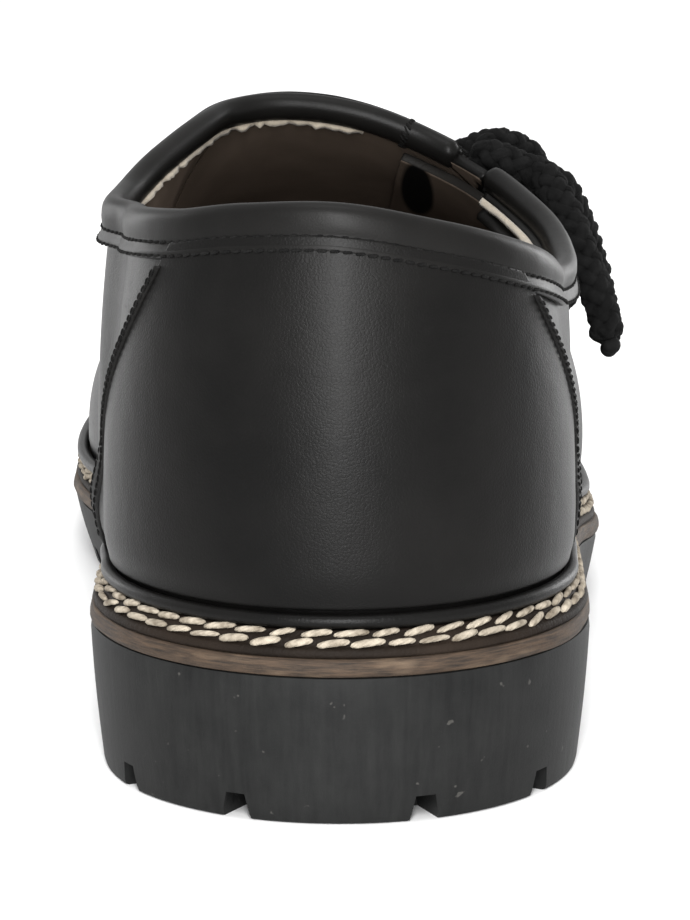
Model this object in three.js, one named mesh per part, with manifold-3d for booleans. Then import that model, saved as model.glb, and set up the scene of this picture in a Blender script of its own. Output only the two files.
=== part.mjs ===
// A right haferl shoe: a leather upper laced on its outer side, sewn to a welt on a lugged rubber sole.
// Millimetres. The toe points along +Y, the foot's outer side along +X, and the floor is z = 0.
// Everything is worked out from the middle of the heel's back edge, and the shoe is centred at the end.
import * as THREE from "three";
import { mergeVertices } from "three/addons/utils/BufferGeometryUtils.js";
import Module from "manifold-3d";

const wasm = await Module();
wasm.setup();

// Sole
const LENGTH = 298;
const HEEL_WIDTH = 82;
const BALL_WIDTH = 101;
const HEEL_ROUND = 46; // length of the half oval at the back
const TOE_ROUND = 86; // length of the half oval at the toe
const TOE_SQUARENESS = 2.25; // 2 is an ellipse
const TOE_SKEW = 5; // the toe's tip lies this far to the inner side
const HEEL_HEIGHT = 24; // rubber under the heel seat
const FOREFOOT_HEIGHT = 13; // rubber under the ball
const TOE_SPRING = 9;
const MIDSOLE = 2.6;
const HEEL_LENGTH = 84; // back of the sole to the heel's breast
const ARCH_LENGTH = 56;
const ARCH_HEIGHT = 11.5;
const HEEL_TAPER = 2;
const FOREFOOT_TAPER = 3.4;
const SOLE_CORNER = 0.9; // rounded lower edge of the rubber
const LUG_DEPTH = 4.2;
const NOTCH_WIDTH = 4.4;
const NOTCH_LENGTH = 11;
const CHANNEL_WIDTH = 3.6;
const EDGE_LUG = 12.5; // sole edge to the channel inside the edge lugs

// Seam between upper and sole
const FLANGE = 5.6; // sole edge to the foot of the upper
const WELT_EDGE = 1.3;
const WELT_INNER = 3.7;
const BEAD = 2.3; // diameter of the storm rand
const WELT_REVEAL = 0.5; // the midsole stands out this far beyond the welt

// Upper
const INSTEP_HEIGHT = 101.5; // floor to the collar over the instep
const COLLAR_BACK = 96.4; // floor to the collar at the heel
const WALL = 2;
const OVERLAY = 1.2; // counter and facing
const BAND = 1.3; // folded and padded collar band
const BAND_WIDTH = 7.2;
const TONGUE = 1.8;
const INSOLE = 3;
const TONGUE_MARGIN = 10; // eyelets' edge to the tongue's
const FACING_MARGIN = 6.5; // eyelets' edge to the facing's
const TONGUE_DROP = 3; // collar to the tongue's top edge

// Lacing
const LACE = 6;
const EYELET = 7;
const SLIT_WIDTH = 7;
const SLIT_LENGTH = 66;
const EYELET_ROWS = 4;
const EYELET_PITCH = 13;
const FIRST_EYELET = 20; // from the slit's mouth
const EYELET_SPREAD = 18; // across the slit, centre to centre
const NUB = 3.4; // diameter of the whipped tip

// Clearance between curved pieces
const GAP = 0.3;

// Reach of the bodies that cut others: above the shoe, below the seam and through the wall of the instep
const ABOVE = 3 * INSTEP_HEIGHT;
const BELOW = 8;
const THROUGH = 0.3 * INSTEP_HEIGHT;

// Half widths of the sole between heel round and toe round, as shares of the width that each row follows
const SOLE_ROWS = [
  { at: 0.154, inner: 0.5, outer: 0.5, of: HEEL_WIDTH },
  { at: 0.235, inner: 0.48, outer: 0.503, of: HEEL_WIDTH },
  { at: 0.32, inner: 0.415, outer: 0.503, of: HEEL_WIDTH },
  { at: 0.4, inner: 0.385, outer: 0.53, of: HEEL_WIDTH },
  { at: 0.49, inner: 0.37, outer: 0.47, of: BALL_WIDTH },
  { at: 0.575, inner: 0.45, outer: 0.475, of: BALL_WIDTH },
  { at: 0.645, inner: 0.502, outer: 0.468, of: BALL_WIDTH },
  { at: 0.7114, inner: 0.52, outer: 0.462, of: BALL_WIDTH },
];

// Sections of the upper: ridge is its height as a share of the instep's, crest the ridge's place across as a
// share of the ball width, full the height of the fullest line above the seam, inner and outer how far the wall
// stands out there beyond the seam, round the squareness of each side above it
const UPPER_ROWS = [
  { at: 0.154, ridge: 1.478, crest: 0, full: 14, inner: 1.8, outer: 1.5, innerRound: 2, outerRound: 2 },
  { at: 0.2, ridge: 1.55, crest: 0, full: 22, inner: 5.2, outer: 2.8, innerRound: 2.05, outerRound: 2.2 },
  { at: 0.25, ridge: 1.42, crest: -0.02, full: 28, inner: 6, outer: 2.8, innerRound: 2.05, outerRound: 2.1 },
  { at: 0.3, ridge: 1.175, crest: -0.05, full: 27, inner: 7.6, outer: 2.8, innerRound: 2.05, outerRound: 2 },
  { at: 0.338, ridge: 1.065, crest: -0.075, full: 25, inner: 8.8, outer: 2.8, innerRound: 2.05, outerRound: 2 },
  { at: 0.3725, ridge: 1, crest: -0.085, full: 24, inner: 9.6, outer: 2.8, innerRound: 2.3, outerRound: 2 },
  { at: 0.43, ridge: 0.905, crest: -0.075, full: 20, inner: 9.2, outer: 2.8, innerRound: 2.2, outerRound: 2 },
  { at: 0.5, ridge: 0.81, crest: -0.06, full: 15, inner: 7, outer: 2.6, innerRound: 2.2, outerRound: 2.1 },
  { at: 0.58, ridge: 0.71, crest: -0.045, full: 11, inner: 4.6, outer: 2.6, innerRound: 2.2, outerRound: 2.2 },
  { at: 0.65, ridge: 0.63, crest: -0.03, full: 9, inner: 3.4, outer: 2.4, innerRound: 2.3, outerRound: 2.3 },
  { at: 0.7114, ridge: 0.575, crest: -0.02, full: 8, inner: 2.6, outer: 2.4, innerRound: 2.4, outerRound: 2.4 },
];

// Topline: turn is the direction from the middle of the opening, from straight back round by the inner side,
// height a share of the collar's height at the back, band the share of the band's full width
const COLLAR_ROWS = [
  { turn: 0, height: 1, band: 1 },
  { turn: 18, height: 0.993, band: 1 },
  { turn: 34, height: 0.97, band: 1 },
  { turn: 72, height: 0.943, band: 1 },
  { turn: 108, height: 0.945, band: 0.95 },
  { turn: 130, height: 0.99, band: 0.8 },
  { turn: 152, height: 1.034, band: 0.6 },
  { turn: 170, height: 1.048, band: 0.55 },
  { turn: 186, height: 1.024, band: 0.55 },
  { turn: 204, height: 0.96, band: 0.6 },
  { turn: 228, height: 0.901, band: 0.75 },
  { turn: 262, height: 0.846, band: 0.85 },
  { turn: 290, height: 0.842, band: 0.9 },
  { turn: 318, height: 0.905, band: 1 },
  { turn: 342, height: 0.966, band: 1 },
];
// The same rows with their neighbours at both ends, so that the topline runs on smoothly past the back
const COLLAR_RING = [
  { ...COLLAR_ROWS.at(-1), turn: COLLAR_ROWS.at(-1).turn - 360 },
  ...COLLAR_ROWS,
  ...COLLAR_ROWS.slice(0, 2).map((row) => ({ ...row, turn: row.turn + 360 })),
];
const COLLAR_MIDDLE = { x: 0, y: 0.208 * LENGTH };

// Front seam of the counter seen from the side: share of the length, share of the collar's height at the back
const COUNTER_SEAM = [
  { at: 0.062, height: 1.05 },
  { at: 0.076, height: 0.9 },
  { at: 0.098, height: 0.78 },
  { at: 0.13, height: 0.66 },
  { at: 0.168, height: 0.52 },
  { at: 0.192, height: 0.42 },
  { at: 0.2, height: 0.34 },
  { at: 0.201, height: 0.2 },
];

// Cuts in the sole's edge: turns round the heel from straight back, distances along the sides, turns at the toe
const HEEL_NOTCHES = [-60, -25, 20, 55];
const SIDE_NOTCHES = [0.2, 0.26, 0.51, 0.57, 0.63, 0.69];
const TOE_NOTCHES = [-65, -40, -14, 14, 40, 65];

const HEEL_STEPS = 6;
const SIDE_STEPS = 11;
const TOE_STEPS = 8;
const COLLAR_STEPS = 32;

const vec = (x, y, z) => new THREE.Vector3(x, y, z);
const radians = THREE.MathUtils.degToRad;
const { clamp, lerp, smoothstep } = THREE.MathUtils;

// Value of a table's column at a distance, along a smooth curve through its rows
function column(rows, name, at, place = "at") {
  const value = (row) => row[name] * (row.of ?? 1);
  const last = rows.length - 1;
  if (at <= rows[0][place]) return value(rows[0]);
  if (at >= rows[last][place]) return value(rows[last]);
  const i = rows.findIndex((row) => row[place] > at) - 1;
  const slope = (k) => {
    if (k === 0 || k === last) return 0;
    return (value(rows[k + 1]) - value(rows[k - 1])) / (rows[k + 1][place] - rows[k - 1][place]);
  };
  const span = rows[i + 1][place] - rows[i][place];
  const t = (at - rows[i][place]) / span;
  const rise = value(rows[i + 1]) - value(rows[i]);
  const a = slope(i) * span - rise;
  const b = rise - slope(i + 1) * span;
  return value(rows[i]) + rise * t + t * (1 - t) * (a * (1 - t) + b * t);
}

// Edge of the sole at a turn round the heel or the toe, or at a distance along a side. The axis is the middle of
// the section that the place belongs to.
const heelPlace = (turn) => ({
  x: (HEEL_WIDTH / 2) * Math.sin(radians(turn)),
  y: HEEL_ROUND * (1 - Math.cos(radians(turn))),
  axis: HEEL_ROUND,
});
const sidePlace = (side, y) => ({
  x: side * column(SOLE_ROWS, side < 0 ? "inner" : "outer", y / LENGTH),
  y,
  axis: y,
});
function toePlace(turn) {
  const widest = LENGTH - TOE_ROUND;
  const half = sidePlace(Math.sign(turn) || 1, widest).x;
  const ahead = Math.max(Math.cos(radians(turn)), 0) ** (2 / TOE_SQUARENESS);
  const across = Math.abs(Math.sin(radians(turn))) ** (2 / TOE_SQUARENESS);
  return { x: half * across - TOE_SKEW * ahead * ahead, y: widest + TOE_ROUND * ahead, axis: widest };
}

// Places once round the sole: from the middle of the back past the outer side, the toe and the inner side
function sidePlaces(side) {
  const places = [];
  for (let i = 0; i < HEEL_STEPS; i++) places.push(heelPlace((side * 90 * i) / HEEL_STEPS));
  for (let i = 0; i < SIDE_STEPS; i++) {
    places.push(sidePlace(side, lerp(HEEL_ROUND, LENGTH - TOE_ROUND, i / SIDE_STEPS)));
  }
  for (let i = TOE_STEPS; i >= 0; i--) places.push(toePlace((side * 90 * i) / TOE_STEPS));
  return places;
}
const PLACES = [...sidePlaces(1), ...sidePlaces(-1).slice(1, -1).reverse()];
PLACES.forEach((place, i) => {
  const before = PLACES.at(i - 1);
  const after = PLACES[(i + 1) % PLACES.length];
  const along = new THREE.Vector2(after.x - before.x, after.y - before.y).normalize();
  place.out = new THREE.Vector2(along.y, -along.x);
});
const inset = (place, distance) => ({
  x: place.x - place.out.x * distance,
  y: place.y - place.out.y * distance,
});
const mirrored = (i) => PLACES[(PLACES.length - i) % PLACES.length];

// Heights along the shoe
const springAt = (y) => TOE_SPRING * clamp((y - 0.76 * LENGTH) / (0.24 * LENGTH), 0, 1) ** 2;
const rubberTop = (y) => lerp(HEEL_HEIGHT, FOREFOOT_HEIGHT, smoothstep(y, 0.22 * LENGTH, 0.64 * LENGTH)) + springAt(y);
const midsoleTop = (y) => rubberTop(y) + GAP + MIDSOLE;
const seamHeight = (y) => midsoleTop(y) + GAP;

// Triangles as a closed solid, with those left out that have no area
function solid(triangles) {
  const positions = [];
  for (const [a, b, c] of triangles) {
    if (a.distanceTo(b) < 1e-4 || b.distanceTo(c) < 1e-4 || c.distanceTo(a) < 1e-4) continue;
    positions.push(...a, ...b, ...c);
  }
  const geometry = new THREE.BufferGeometry();
  geometry.setAttribute("position", new THREE.Float32BufferAttribute(positions, 3));
  return toSolid(geometry);
}

function toSolid(geometry) {
  const bare = geometry.index ? geometry.toNonIndexed() : geometry.clone();
  bare.deleteAttribute("normal");
  bare.deleteAttribute("uv");
  const merged = mergeVertices(bare, 1e-4);
  return new wasm.Manifold(
    new wasm.Mesh({
      numProp: 3,
      vertProperties: merged.attributes.position.array,
      triVerts: new Uint32Array(merged.index.array),
    }),
  );
}

// Skin over neighbouring columns of points that go once round the shoe. A column runs up the outside, from the
// bottom's middle to the top's middle, or it is a loop.
function skin(columns, loop = false) {
  const triangles = [];
  columns.forEach((here, i) => {
    const next = columns[(i + 1) % columns.length];
    const steps = loop ? here.length : here.length - 1;
    for (let j = 0; j < steps; j++) {
      const k = (j + 1) % here.length;
      triangles.push([here[j], next[j], next[k]], [here[j], next[k], here[k]]);
    }
  });
  return solid(triangles);
}

// Prism with its outline in the plane that looks along the given direction
function prism(points, origin, right, up, depth) {
  const shape = new THREE.Shape(points.map(([a, b]) => new THREE.Vector2(a, b)));
  const geometry = new THREE.ExtrudeGeometry(shape, { depth, bevelEnabled: false });
  const away = right.clone().cross(up);
  geometry.applyMatrix4(new THREE.Matrix4().makeBasis(right, up, away).setPosition(origin));
  return toSolid(geometry);
}
const RIGHT = vec(1, 0, 0);
const AHEAD = vec(0, 1, 0);
const UP = vec(0, 0, 1);
// Side outline (y, z) through the whole width, and plan outline (x, y) between two heights
const sidePrism = (points) => prism(points, vec(-LENGTH, 0, 0), AHEAD, UP, 2 * LENGTH);
const planPrism = (points, low, high) => prism(points, vec(0, 0, low), RIGHT, AHEAD, high - low);

// Form of the upper
const section = (place, name) => column(UPPER_ROWS, name, place.axis / LENGTH);
const ridgeHeight = (y) => INSTEP_HEIGHT * column(UPPER_ROWS, "ridge", y / LENGTH);
const RISE_STEPS = [0, 0.3, 0.65];
const TURN_STEPS = [0, 11, 23, 35, 47, 59, 71, 82, 90];

// Column of wall points from the seam to the ridge
function wallColumn(place) {
  const seam = inset(place, FLANGE);
  const low = seamHeight(seam.y);
  const middle = vec(BALL_WIDTH * section(place, "crest"), place.axis, 0);
  const outward = vec(seam.x - middle.x, seam.y - middle.y, 0);
  const reach = outward.length();
  outward.normalize();
  const lateral = 0.5 + 0.5 * outward.x;
  const bulge = lerp(section(place, "inner"), section(place, "outer"), lateral);
  const round = lerp(section(place, "innerRound"), section(place, "outerRound"), lateral);
  const full = section(place, "full");
  const at = (distance, height) => middle.clone().addScaledVector(outward, distance).setZ(height);
  const points = RISE_STEPS.map((s) => at(reach + bulge * (1 - (1 - s) ** 2), low + full * s));
  const top = ridgeHeight(place.axis);
  for (const turn of TURN_STEPS) {
    const across = Math.max(Math.cos(radians(turn)), 0) ** (2 / round);
    const above = Math.sin(radians(turn)) ** (2 / round);
    points.push(at(turn === 90 ? 0 : (reach + bulge) * across, lerp(low + full, top, above)));
  }
  return points;
}
const WALL_COLUMNS = PLACES.map(wallColumn);

// Outward direction of the wall at each of its points
const WALL_NORMALS = WALL_COLUMNS.map((here, i) => {
  const before = WALL_COLUMNS.at(i - 1);
  const after = WALL_COLUMNS[(i + 1) % WALL_COLUMNS.length];
  const last = here.length - 1;
  return here.map((point, j) => {
    if (j === last) {
      const slope = (ridgeHeight(point.y + 1) - ridgeHeight(point.y - 1)) / 2;
      return vec(0, -slope, 1).normalize();
    }
    const along = after[j].clone().sub(before[j]);
    const rise = here[j + 1].clone().sub(here[Math.max(j - 1, 0)]);
    const normal = along.cross(rise);
    if (j === 0) normal.setZ(0);
    return normal.normalize();
  });
});

// The form grown outward by a distance, or shrunk where it is negative, and lengthened downward by a drop
function form(grow, drop = 0) {
  const columns = WALL_COLUMNS.map((points, i) => {
    const moved = points.map((point, j) => point.clone().addScaledVector(WALL_NORMALS[i][j], grow));
    const foot = moved[0].clone().setZ(moved[0].z - drop);
    const axis = PLACES[i].axis;
    const middle = vec(BALL_WIDTH * section(PLACES[i], "crest"), axis, seamHeight(axis) - drop);
    return drop > 0 ? [middle, foot, ...moved] : [middle, ...moved];
  });
  return skin(columns);
}

// Point where a ray meets the form's wall, and the way that the wall faces there
const formMesh = new THREE.Mesh(toGeometry(form(0)), new THREE.MeshStandardMaterial({ side: THREE.DoubleSide }));
function onWall(from, direction) {
  const hit = new THREE.Raycaster(from, direction).intersectObject(formMesh)[0];
  return { point: hit.point, faces: hit.face.normal.clone() };
}
const onForm = (x, y) => onWall(vec(x, y, ABOVE), vec(0, 0, -1));

// Wall point of a column at a height above the seam
function wallAt(i, height) {
  const points = WALL_COLUMNS[i];
  const target = points[0].z + height;
  const j = Math.max(points.findIndex((point) => point.z > target), 1);
  const t = (target - points[j - 1].z) / (points[j].z - points[j - 1].z);
  return points[j - 1].clone().lerp(points[j], t);
}

// Everything above the topline, lowered by a distance and by a share of the band's width. Its underside is level
// across the wall.
function aboveCollar(lower = 0, bands = 0) {
  const margin = 8;
  const far = 0.6 * LENGTH;
  const columns = [];
  // The table turns clockwise, and columns go round the other way
  for (let i = COLLAR_STEPS; i > 0; i--) {
    const turn = (360 * i) / COLLAR_STEPS;
    const drop = lower + bands * BAND_WIDTH * column(COLLAR_RING, "band", turn, "turn");
    const z = COLLAR_BACK * column(COLLAR_RING, "height", turn, "turn") - drop;
    const outward = vec(-Math.sin(radians(turn)), -Math.cos(radians(turn)), 0);
    const at = (radius, height) => vec(COLLAR_MIDDLE.x, COLLAR_MIDDLE.y, height).addScaledVector(outward, radius);
    const wall = onWall(at(0, z), outward).point.distanceTo(at(0, z));
    columns.push([
      at(0, COLLAR_BACK - lower),
      at(wall - margin, z),
      at(wall + margin, z),
      at(far, z),
      at(far, ABOVE),
      at(0, ABOVE),
    ]);
  }
  return skin(columns);
}

// Middle of the chord across the sole at one of its places, between two edge points
function chordMiddle(i, distance) {
  const here = inset(PLACES[i], distance);
  const there = inset(mirrored(i), distance);
  return { x: (here.x + there.x) / 2, y: (here.y + there.y) / 2 };
}

// Plate with its edge a distance inside the sole's
function plate(distance, lowAt, highAt) {
  return skin(
    PLACES.map((place, i) => {
      const edge = inset(place, distance);
      const middle = chordMiddle(i, distance);
      return [
        vec(middle.x, middle.y, lowAt(middle.y)),
        vec(edge.x, edge.y, lowAt(edge.y)),
        vec(edge.x, edge.y, highAt(edge.y)),
        vec(middle.x, middle.y, highAt(middle.y)),
      ];
    }),
  );
}

function outsoleBlank() {
  const corner = SOLE_CORNER;
  return skin(
    PLACES.map((place, i) => {
      const ahead = smoothstep(place.y, HEEL_LENGTH, HEEL_LENGTH + ARCH_LENGTH);
      const taper = lerp(HEEL_TAPER, FOREFOOT_TAPER, ahead);
      const at = (distance, height) => {
        const edge = inset(place, distance);
        return vec(edge.x, edge.y, height + springAt(edge.y));
      };
      const lowMiddle = chordMiddle(i, taper + corner);
      const topMiddle = chordMiddle(i, 0);
      return [
        vec(lowMiddle.x, lowMiddle.y, springAt(lowMiddle.y)),
        at(taper + corner, 0),
        at(taper + 0.3 * corner, 0.3 * corner),
        at(taper, 1.3 * corner),
        vec(place.x, place.y, rubberTop(place.y)),
        vec(topMiddle.x, topMiddle.y, rubberTop(topMiddle.y)),
      ];
    }),
  );
}

// Arch between the heel's breast and the tread, cut across the whole sole
function archCut() {
  const breast = HEEL_LENGTH;
  const end = HEEL_LENGTH + ARCH_LENGTH;
  const shape = new THREE.Shape();
  shape.moveTo(breast, -1);
  shape.lineTo(breast + 1.5, ARCH_HEIGHT - 3);
  shape.quadraticCurveTo(breast + 2, ARCH_HEIGHT, breast + 6, ARCH_HEIGHT);
  shape.bezierCurveTo(breast + 24, ARCH_HEIGHT, end - 22, 0.55 * ARCH_HEIGHT, end, -1);
  return sidePrism(shape.getPoints(8).map((p) => [p.x, p.y]));
}

// Flared cut in from the sole's edge at a place, widening towards the floor and the edge
function notch(place, length = NOTCH_LENGTH) {
  const inward = vec(-place.out.x, -place.out.y, 0);
  const across = vec(-inward.y, inward.x, 0);
  const start = vec(place.x, place.y, springAt(place.y)).addScaledVector(inward, -2);
  const half = NOTCH_WIDTH / 2;
  const outline = [
    [-1.35 * half, -2],
    [1.35 * half, -2],
    [0.75 * half, LUG_DEPTH],
    [-0.75 * half, LUG_DEPTH],
  ];
  return prism(outline, start, across, UP, length + 2);
}

// Channel that parts the edge lugs from those in the middle, between two distances along the sole
function channel(from, to) {
  const half = CHANNEL_WIDTH / 2;
  const ring = skin(
    PLACES.map((place) => {
      const outer = inset(place, EDGE_LUG);
      const inner = inset(place, EDGE_LUG + CHANNEL_WIDTH);
      const low = springAt(place.y) - 2;
      const high = springAt(place.y) + LUG_DEPTH;
      return [
        vec(inner.x, inner.y, low),
        vec(outer.x, outer.y, low),
        vec(outer.x, outer.y, high),
        vec(inner.x, inner.y, high),
      ];
    }),
    true,
  );
  const width = BALL_WIDTH;
  const keep = planPrism([[-width, from], [width, from], [width, to], [-width, to]], -half - 3, HEEL_HEIGHT);
  return ring.intersect(keep);
}

// Straight groove across the middle lugs
function crossGroove(y, half, width = CHANNEL_WIDTH) {
  const low = springAt(y);
  const outline = [[-half, y - width / 2], [half, y - width / 2], [half, y + width / 2], [-half, y + width / 2]];
  return planPrism(outline, low - 2, low + LUG_DEPTH);
}

// Nearest place of the ring to a place that has no outward direction yet
function edgePlace(place) {
  const distance = (other) => Math.hypot(other.x - place.x, other.y - place.y);
  const nearest = PLACES.reduce((best, other) => (distance(other) < distance(best) ? other : best));
  return { ...place, out: nearest.out };
}

function outsole() {
  const heelEnd = HEEL_LENGTH - 9;
  const treadStart = HEEL_LENGTH + ARCH_LENGTH + 4;
  const treadEnd = 0.9 * LENGTH;
  const spacing = 0.061 * LENGTH;
  let made = outsoleBlank().subtract(archCut());
  const cuts = [
    ...HEEL_NOTCHES.map((turn) => notch(edgePlace(heelPlace(turn)))),
    ...SIDE_NOTCHES.flatMap((at) => [-1, 1].map((side) => notch(edgePlace(sidePlace(side, at * LENGTH))))),
    ...TOE_NOTCHES.map((turn) => notch(edgePlace(toePlace(turn)))),
    channel(-1, heelEnd),
    channel(treadStart, treadEnd),
    crossGroove(0.5 * HEEL_LENGTH, 0.2 * HEEL_WIDTH),
  ];
  for (let y = treadStart + spacing; y < treadEnd - spacing / 2; y += spacing) {
    cuts.push(crossGroove(y, 0.24 * BALL_WIDTH));
  }
  for (const cut of cuts) made = made.subtract(cut);
  return made;
}

// Welt: flat below, sloping up from its edge to the foot of the upper
function welt() {
  return skin(
    PLACES.map((place, i) => {
      const edge = inset(place, WELT_REVEAL);
      const shoulder = inset(place, WELT_REVEAL + 0.8);
      const foot = wallAt(i, 0.1);
      const inner = wallAt(i, WELT_INNER);
      const out = vec(place.out.x, place.out.y, 0);
      foot.addScaledVector(out, 2 * GAP).setZ(seamHeight(foot.y));
      inner.addScaledVector(out, 2 * GAP);
      const crown = inner.clone().addScaledVector(out, 0.6 * BEAD);
      return [
        foot,
        vec(edge.x, edge.y, seamHeight(edge.y)),
        vec(edge.x, edge.y, seamHeight(edge.y) + 0.7 * WELT_EDGE),
        vec(shoulder.x, shoulder.y, seamHeight(shoulder.y) + WELT_EDGE),
        crown,
        inner,
      ];
    }),
    true,
  );
}

// Storm rand: a round bead in the corner between welt and upper
function stormRand() {
  const sides = 6;
  const radius = BEAD / 2;
  return skin(
    PLACES.map((place, i) => {
      const height = WELT_INNER + GAP + radius;
      const out = vec(place.out.x, place.out.y, 0);
      const centre = wallAt(i, height).addScaledVector(out, radius + 2 * GAP);
      return Array.from({ length: sides }, (_, k) => {
        const turn = (2 * Math.PI * k) / sides;
        const across = radius * Math.sin(turn);
        return centre.clone().addScaledVector(out, across).add(vec(0, 0, -radius * Math.cos(turn)));
      });
    }),
    true,
  );
}

// Lacing slit on the outer side of the instep: its line in plan, and the way that the wall faces there
const SLIT_START = vec(0.205 * BALL_WIDTH, 0.335 * LENGTH, 0);
const SLIT_ALONG = vec(0.2, 0.98, 0).normalize();
const SLIT_ACROSS = vec(SLIT_ALONG.y, -SLIT_ALONG.x, 0);
const SLIT_FACES = vec(0.58, 0.2, 0.79).normalize();

// Outline along and across the slit, pushed through the wall along the way that it faces
function throughSlit(outline) {
  const away = SLIT_FACES;
  const along = SLIT_ALONG.clone().addScaledVector(away, -SLIT_ALONG.dot(away)).normalize();
  const across = away.clone().cross(along).negate();
  const middle = onForm(SLIT_START.x + 0.5 * SLIT_LENGTH * SLIT_ALONG.x, SLIT_START.y + 0.5 * SLIT_LENGTH).point;
  const start = middle.clone().addScaledVector(along, -0.5 * SLIT_LENGTH).addScaledVector(away, -THROUGH);
  const turned = outline.map(([a, b]) => [b, a]);
  return prism(turned, start, across, along, 2 * THROUGH);
}

function slitOutline(margin) {
  const half = SLIT_WIDTH / 2 + margin;
  const end = SLIT_LENGTH + margin;
  return [
    [-THROUGH, -0.7 * half],
    [0, -0.8 * half],
    [0.35 * end, -half],
    [0.8 * end, -half],
    [0.95 * end, -0.7 * half],
    [end, 0],
    [0.95 * end, 0.7 * half],
    [0.8 * end, half],
    [0.35 * end, half],
    [0, 0.8 * half],
    [-THROUGH, 0.7 * half],
  ];
}

function toGeometry(body) {
  const mesh = body.getMesh();
  const geometry = new THREE.BufferGeometry();
  geometry.setAttribute("position", new THREE.BufferAttribute(mesh.vertProperties, 3));
  geometry.setIndex(new THREE.BufferAttribute(mesh.triVerts, 1));
  return geometry;
}

// Eyelets in pairs along the slit, the first pair nearest the collar
function eyelets() {
  const rows = Array.from({ length: EYELET_ROWS }, (_, row) => FIRST_EYELET + row * EYELET_PITCH);
  return rows.map((along) => {
    const plan = SLIT_START.clone().addScaledVector(SLIT_ALONG, along);
    const { point, faces } = onForm(plan.x, plan.y);
    const across = SLIT_ALONG.clone().cross(faces).normalize();
    return [-1, 1].map((side) => {
      const from = point.clone().addScaledVector(across, (side * EYELET_SPREAD) / 2).addScaledVector(faces, THROUGH);
      return onWall(from, faces.clone().negate());
    });
  });
}
const EYELETS = eyelets();

function eyeletCut({ point, faces }) {
  const depth = 16;
  const geometry = new THREE.CylinderGeometry(EYELET / 2, EYELET / 2, depth, 10);
  geometry.applyQuaternion(new THREE.Quaternion().setFromUnitVectors(AHEAD, faces));
  geometry.translate(point.x, point.y, point.z);
  return toSolid(geometry);
}

function pierced(body) {
  let made = body.subtract(throughSlit(slitOutline(0)));
  for (const eyelet of EYELETS.flat()) made = made.subtract(eyeletCut(eyelet));
  return made;
}

// The largest piece of a cut body, without the slivers that a cut leaves beside an eyelet
const mainPiece = (body) => body.decompose().reduce((best, part) => (part.volume() > best.volume() ? part : best));

// Upper and what is sewn on it
const below = (body, lower, bands) => body.subtract(aboveCollar(lower, bands));

function upper() {
  const hollow = form(0).subtract(form(-WALL, BELOW));
  return pierced(below(hollow, 0, 0));
}

function counter() {
  const outline = COUNTER_SEAM.map(({ at, height }) => [at * LENGTH, height * COLLAR_BACK]);
  const seam = [[-10, 1.05 * COLLAR_BACK], ...outline.slice(0, -1), [outline.at(-1)[0], 0], [-10, 0]];
  const shell = form(GAP + OVERLAY).subtract(form(GAP, BELOW));
  const aboveRand = WELT_INNER + BEAD + 4 * GAP;
  const room = plate(-LENGTH / 4, () => -5, (y) => seamHeight(y) + aboveRand);
  return below(shell.intersect(sidePrism(seam)), GAP, 1).subtract(room);
}

function collarBand() {
  const shell = form(GAP + BAND).subtract(form(GAP, BELOW));
  return mainPiece(pierced(below(shell, 0, 0).intersect(aboveCollar(0, 1))));
}

// Facing round the slit, below the collar band
function facing() {
  const shell = form(GAP + OVERLAY).subtract(form(GAP, BELOW));
  const margin = (EYELET_SPREAD - SLIT_WIDTH) / 2 + FACING_MARGIN;
  return mainPiece(pierced(below(shell.intersect(throughSlit(slitOutline(margin))), GAP, 1)));
}

// Tongue under the instep and the slit, its top edge below the collar
function tongue() {
  const outer = -WALL - GAP - 0.2;
  const shell = form(outer, BELOW).subtract(form(outer - TONGUE, 1.5 * BELOW));
  const margin = (EYELET_SPREAD - SLIT_WIDTH) / 2 + TONGUE_MARGIN;
  return below(shell.intersect(throughSlit(slitOutline(margin))), TONGUE_DROP, 0);
}

// Tube of round section along a curve
function tube(points, diameter, steps, sides = 8) {
  const round = new THREE.Shape();
  for (let k = 0; k < sides; k++) {
    const turn = (2 * Math.PI * k) / sides;
    const place = [(diameter / 2) * Math.cos(turn), (diameter / 2) * Math.sin(turn)];
    if (k === 0) round.moveTo(...place);
    else round.lineTo(...place);
  }
  round.closePath();
  const path = new THREE.CatmullRomCurve3(points, false, "centripetal");
  return toSolid(new THREE.ExtrudeGeometry(round, { extrudePath: path, steps, bevelEnabled: false }));
}

// Lace bar across the slit, both ends turned down into their eyelets
function laceBar([inner, outer]) {
  const above = GAP + OVERLAY + GAP + LACE / 2 + 0.6;
  const at = ({ point, faces }, height) => point.clone().addScaledVector(faces, height);
  const middle = inner.point.clone().lerp(outer.point, 0.5);
  const lift = inner.faces.clone().add(outer.faces).normalize();
  const inward = (eyelet) => at(eyelet, above).lerp(middle.clone().addScaledVector(lift, above + 1), 0.25);
  return tube(
    [
      at(inner, 0.2),
      at(inner, 0.55 * above),
      inward(inner),
      middle.clone().addScaledVector(lift, above + 1.2),
      inward(outer),
      at(outer, 0.55 * above),
      at(outer, 0.2),
    ],
    LACE,
    11,
  );
}

// Knot over the top pair of eyelets, with the two runs that rise into it
const KNOT = { wide: 13, long: 11, high: 8, lean: 34, clear: 1.2 };
function knotHeart() {
  const [inner, outer] = EYELETS[0];
  const lift = inner.faces.clone().add(outer.faces).normalize();
  const stand = GAP + BAND + GAP + KNOT.high / 2 + KNOT.clear;
  return inner.point.clone().lerp(outer.point, 0.5).addScaledVector(lift, stand);
}
const HEART = knotHeart();

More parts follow.
